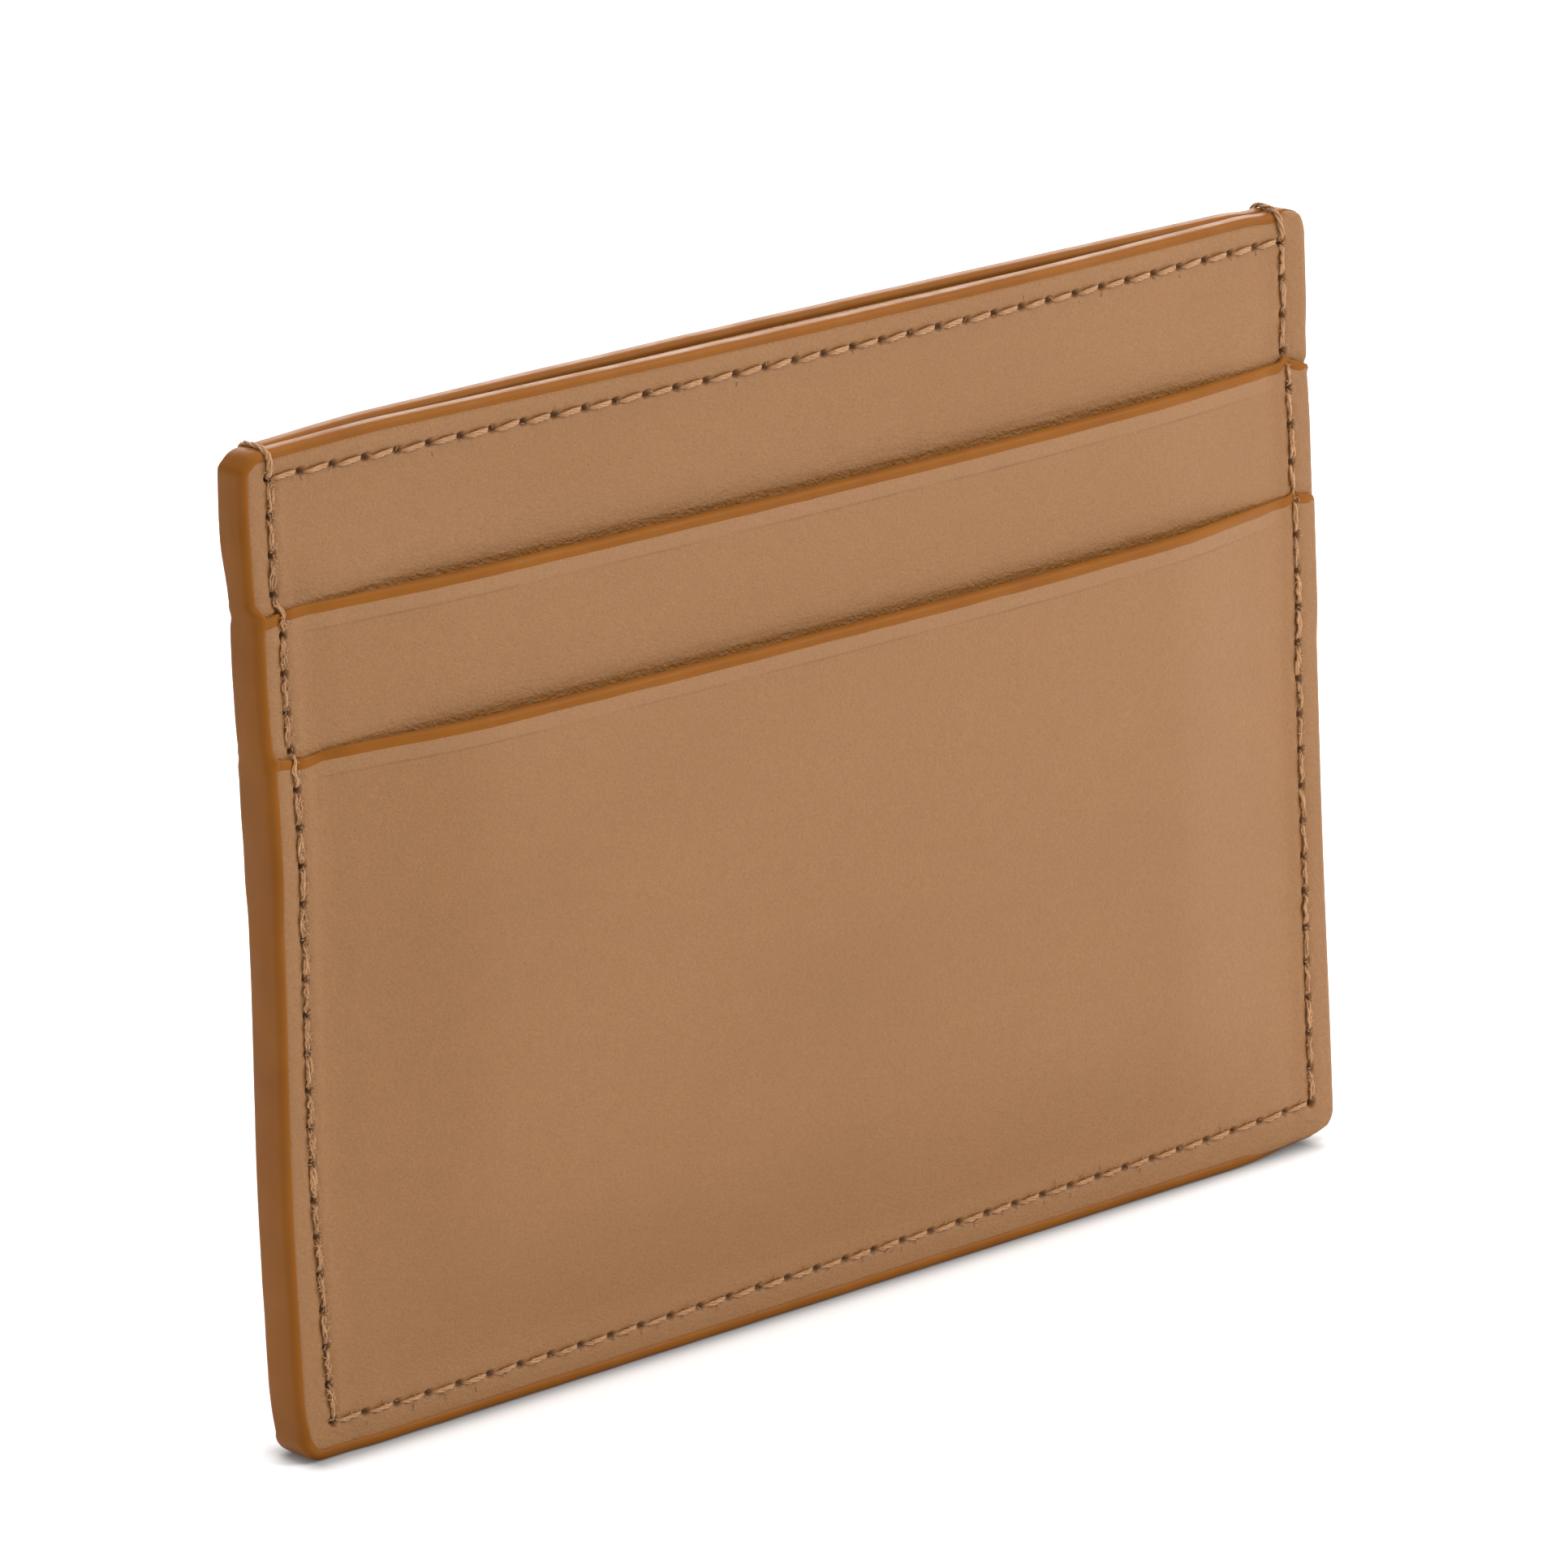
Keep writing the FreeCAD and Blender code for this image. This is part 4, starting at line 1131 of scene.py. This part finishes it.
def frayed(strands, start, end, side, seam, rng):
    """A worn stitch: loose strands that wander in the pressed line, with fuzz round them."""
    n = 18
    t = np.linspace(0, 1, n)
    phase = rng.uniform(0, 50)
    sway = 0.07 * rng.uniform(-1, 1)
    thickness, spread, loose = FRAY[seam]
    thick = thickness * rng.uniform(0.8, 1.15)
    for k in range(5):
        head, tail = (0.09, 0.91) if k < 2 else sorted((rng.uniform(0.0, 0.5), rng.uniform(0.45, 1.0)))
        s = mix(head, tail, t)
        wander = 0.16 * ripple(s * 4.5 + phase, 0, k) + 0.04 * (k - 2)
        across = sway * np.sin(math.pi * s) + spread * wander
        height = 0.05 + 0.10 * ripple(s * 5 + phase, 9.0, k)
        ends = np.clip(np.sin(math.pi * s) * 2.2, 0, 1) ** 0.7
        height = mix(-0.36, height, ends)
        x, z = between(start, end, s)
        path = surface(x + across, z + 0.02 * ripple(s * 5 + phase, 3.0, k), side, height)
        radii = thick * 0.075 * (0.45 + 0.55 * np.clip(np.sin(math.pi * t) * 2.5, 0, 1))
        radii = radii * (1 + 0.2 * ripple(s * 7 + phase, 5.0, k))
        sunk_shade = 0.8 * (1 - smooth(0.0, 0.14, np.minimum(s, 1 - s)))
        strands.tube(path, radii, sunk_shade=sunk_shade, around=6)
    for _ in range(loose):
        s = rng.uniform(0.0, 1.0)
        angle = math.pi * rng.choice((0, 1)) + rng.uniform(-0.9, 0.9)
        length = rng.uniform(0.15, 0.48)
        steps = np.linspace(0, 1, 5)
        bend = angle + rng.uniform(-1.8, 1.8) * steps
        x, z = between(start, end, s)
        x += 0.08 * rng.uniform(-1, 1)
        lift = 0.11 + 0.14 * rng.uniform(0, 1) * np.sin(math.pi * steps * 0.9)
        strands.fibre(x, z, bend, length, side, lift, rng.uniform(0.026, 0.040))


def fibres(strands, holes, side, rng, per_hole, lift):
    """Loose fibre ends that stand out round the holes."""
    for hx, hz in holes:
        for _ in range(per_hole):
            angle = rng.uniform(0, 2 * math.pi)
            length = rng.uniform(0.2, 0.45)
            x, z = hx + 0.12 * rng.uniform(-1, 1), hz + 0.5 * rng.uniform(-1, 1)
            t = np.linspace(0, 1, 6)
            bend = angle + rng.uniform(-1.2, 1.2) * t
            heights = lift + 0.06 + 0.16 * rng.uniform(0.2, 1) * np.sin(math.pi * t * 0.9)
            strands.fibre(x, z, bend, length, side, heights, FIBRE)


def seam_thread(side_name, side):
    rng = random.Random(11 if side < 0 else 12)
    strands = Strands()
    for seam in ("left", "bottom", "right"):
        holes = HOLES[seam]
        for start, end in zip(holes, holes[1:]):
            if seam == "bottom":
                stitch(strands, start, end, side, seam, rng)
                fibres(strands, [0.5 * (start + end)], side, rng, 3, 0.0)
            else:
                frayed(strands, start, end, side, seam, rng)
    fibres(strands, HOLES["bottom"], side, rng, 1, -0.05)
    strands.finish(f"{side_name}_seam_stitching", f"{side_name}_seam_thread")


def top_thread(side_name, side):
    rng = random.Random(21 if side < 0 else 22)
    strands = Strands()
    holes = HOLES["top"]
    for start, end in zip(holes, holes[1:]):
        stitch(strands, start, end, side, "top", rng)
    fibres(strands, holes, side, rng, 1, -0.05)
    strands.finish(f"{side_name}_top_stitching_outer", f"{side_name}_top_thread_outer")

    strands = Strands()
    inside = [h for h in holes if abs(h[0]) < STEM_HALF]
    for start, end in zip(inside, inside[1:]):
        n = 14
        t = np.linspace(0, 1, n)
        belly = np.sin(math.pi * t)
        x, z = between(start, end, t)
        level = body_inner(x, z, side) - mix(-0.2, 0.1, np.clip(belly * 1.3, 0, 1) ** 0.6)
        path = np.stack([x, lean(x, z) + side * level, z], -1)
        taper = np.clip(belly * 1.25, 0, 1) ** 0.5
        twisted(strands, path, (0, -side, 0), 0.12, 0.12, 2, 0.9, taper, phase=rng.uniform(0, 6.28))
    strands.finish(f"{side_name}_top_stitching_inner", f"{side_name}_top_thread_inner")


def smooth_path(points, count):
    """A curve through the points, by Catmull-Rom."""
    p = np.asarray(points, float)
    p = np.concatenate([[2 * p[0] - p[1]], p, [2 * p[-1] - p[-2]]])
    out = []
    spans = len(p) - 3
    for s in np.linspace(0, spans - 1e-9, count):
        k = int(s)
        t = s - k
        a, b, c, d = p[k], p[k + 1], p[k + 2], p[k + 3]
        out.append(0.5 * (
            2 * b + (c - a) * t + (2 * a - 5 * b + 4 * c - d) * t * t + (3 * b - a - 3 * c + d) * t ** 3))
    return np.array(out)


def corner_thread(side_name, hand):
    """The thread that binds a top corner: out of the last hole, over the edge, into the other face."""
    x0 = hand * SEAM_X
    seam = TOP_SEAM_Z
    shift = float(lean(x0, seam + 1))
    front = shift - float(skin(x0, seam, -1))
    back = shift + float(skin(x0, seam, 1))
    crest = TOP + PAINT + float(trim(x0))
    points = np.array([
        (x0, front + 0.35, seam - 0.05), (x0, front - 0.12, seam + 0.45), (x0, front - 0.17, seam + 1.3),
        (x0, front - 0.1, crest - 0.3), (x0, front + 0.5, crest + 0.12), (x0, shift, crest + 0.17),
        (x0, back - 0.5, crest + 0.12), (x0, back + 0.1, crest - 0.3), (x0, back + 0.17, seam + 1.3),
        (x0, back + 0.1, seam + 0.4), (x0, back - 0.35, seam)])
    # how far the thread wanders to one side on its way over the edge
    points[:8, 0] += (0, 0, 0, -0.05, -0.1, 0, 0, 0) if hand < 0 else (
        0, 0.02, -0.12, -0.3, -0.3, -0.1, 0.15, 0.1)
    path = smooth_path(points, 90)
    normals = np.cross(np.array([1.0, 0.0, 0.0]), headings(path))
    normals /= np.linalg.norm(normals, axis=1)[:, None]
    t = np.linspace(0, 1, 90)
    taper = np.clip(np.sin(math.pi * t) * 5, 0.2, 1) ** 0.5
    sunk_shade = 1 - smooth(0, 0.05, np.minimum(t, 1 - t))
    strands = Strands()
    twisted(strands, path, normals, 0.11, 0.13, 3, 3.0 * hand, taper, flat=0.8, sunk_shade=sunk_shade)
    rng = random.Random(31 + hand)
    for side in (-1, 1):
        fibres(strands, [(x0, TOP_SEAM_Z + 0.4)], side, rng, 5, 0.05)
    for _ in range(40):
        at = path[rng.randrange(8, 82)]
        aim = np.array([rng.uniform(-1, 1), rng.uniform(-0.6, 0.6), rng.uniform(-0.5, 1)])
        steps = np.linspace(0, rng.uniform(0.2, 0.45), 5)[:, None]
        tail = at + aim * steps + 0.1 * rng.uniform(-1, 1) * steps ** 2
        strands.tube(tail, np.full(5, FIBRE), around=5)
    strands.finish(f"{side_name}_corner_binding", f"{side_name}_corner_thread")


# ---- assembly

for side_name, side in SIDES.items():
    body_lining(side_name, side)
    body_panel(side_name, side)
    upper_pocket(side_name, side)
    lower_pocket(side_name, side)
    top_paint(side_name, side)
    mouth_paint(side_name, side, "upper", UPPER_TOP, UPPER_BEAD, upper_outer, upper_thick)
    mouth_paint(side_name, side, "lower", LOWER_TOP, LOWER_BEAD, lower_outer, lower_thick)
    seam_thread(side_name, side)
    top_thread(side_name, side)
for hand_name, hand in (("left", -1), ("right", 1)):
    side_paint(hand_name, hand)
    corner_thread(hand_name, hand)
bottom_paint()
films()


# ---- floor and light


FOOTPRINT_SHIFT = 0.0008               # the holder's footprint on the table
FOOTPRINT_HALF = (0.0489, 0.0019)
CONTACT_REACH = 0.0014
CONTACT_SHADE = 0.65
TABLE_COLOUR = (0.9, 0.9, 0.9)
SHADE_COLOUR = (0.05, 0.05, 0.05)
TABLE_GLOW = 0.22
TABLE_HALF = 3.0
WORLD_STRENGTH = 0.48
# position, aim, size, power
LIGHTS = {
    "key": ((0.55, -0.6, 0.5), (0, 0, 0.04), (0.5, 0.5), 6.0),
    "overhead": ((0.1, 0.05, 1.0), (0, 0, 0.0), (1.0, 0.8), 8.4),
    "rim": ((0.43, 0.52, 0.30), (0, 0, 0.07), (0.7, 0.16), 2.6),
}


def add_floor():
    """A white table that darkens close to the foot of the holder, where little light gets in."""
    n = Nodes("white_table")

    def beyond(value, half):
        return n.math("MAXIMUM", n.math("SUBTRACT", n.math("ABSOLUTE", value), half), 0.0)

    apart = n.add("ShaderNodeSeparateXYZ", {0: n.where()}).outputs
    along = beyond(n.math("ADD", apart[0], FOOTPRINT_SHIFT), FOOTPRINT_HALF[0])
    across = beyond(apart[1], FOOTPRINT_HALF[1])
    squares = [n.math("MULTIPLY", way, way) for way in (along, across)]
    gap = n.math("SQRT", n.math("ADD", *squares))
    fall = n.math("POWER", n.math("DIVIDE", gap, CONTACT_REACH), 1.6)
    shut = n.math("MULTIPLY", n.math("EXPONENT", n.math("MULTIPLY", fall, -1.0)), CONTACT_SHADE)
    white = n.blend(shut, TABLE_COLOUR, SHADE_COLOUR)
    n.set(Base_Color=white, Roughness=0.8, Emission_Color=white, Emission_Strength=TABLE_GLOW)
    n.set(Specular_IOR_Level=0.2)
    corners = [(TABLE_HALF * i, TABLE_HALF * j, 0) for i, j in ((-1, -1), (1, -1), (1, 1), (-1, 1))]
    floor = new_object("table", corners, [[0, 1, 2, 3]], n.material, smooth_faces=False)


def add_light(name, position, aim, size, power):
    data = bpy.data.lights.new(name, "AREA")
    data.shape = "RECTANGLE"
    data.size, data.size_y = size
    data.energy = power
    light = bpy.data.objects.new(name, data)
    bpy.context.scene.collection.objects.link(light)
    light.location = position
    light.rotation_euler = (Vector(aim) - Vector(position)).to_track_quat("-Z", "Y").to_euler()


def add_world():
    world = bpy.data.worlds.new("studio")
    bpy.context.scene.world = world
    world.use_nodes = True
    background = world.node_tree.nodes["Background"].inputs
    background["Color"].default_value = (1, 1, 1, 1)
    background["Strength"].default_value = WORLD_STRENGTH


add_floor()
add_world()
for name, light in LIGHTS.items():
    add_light(name, *light)
bpy.context.scene.view_settings.view_transform = "Standard"
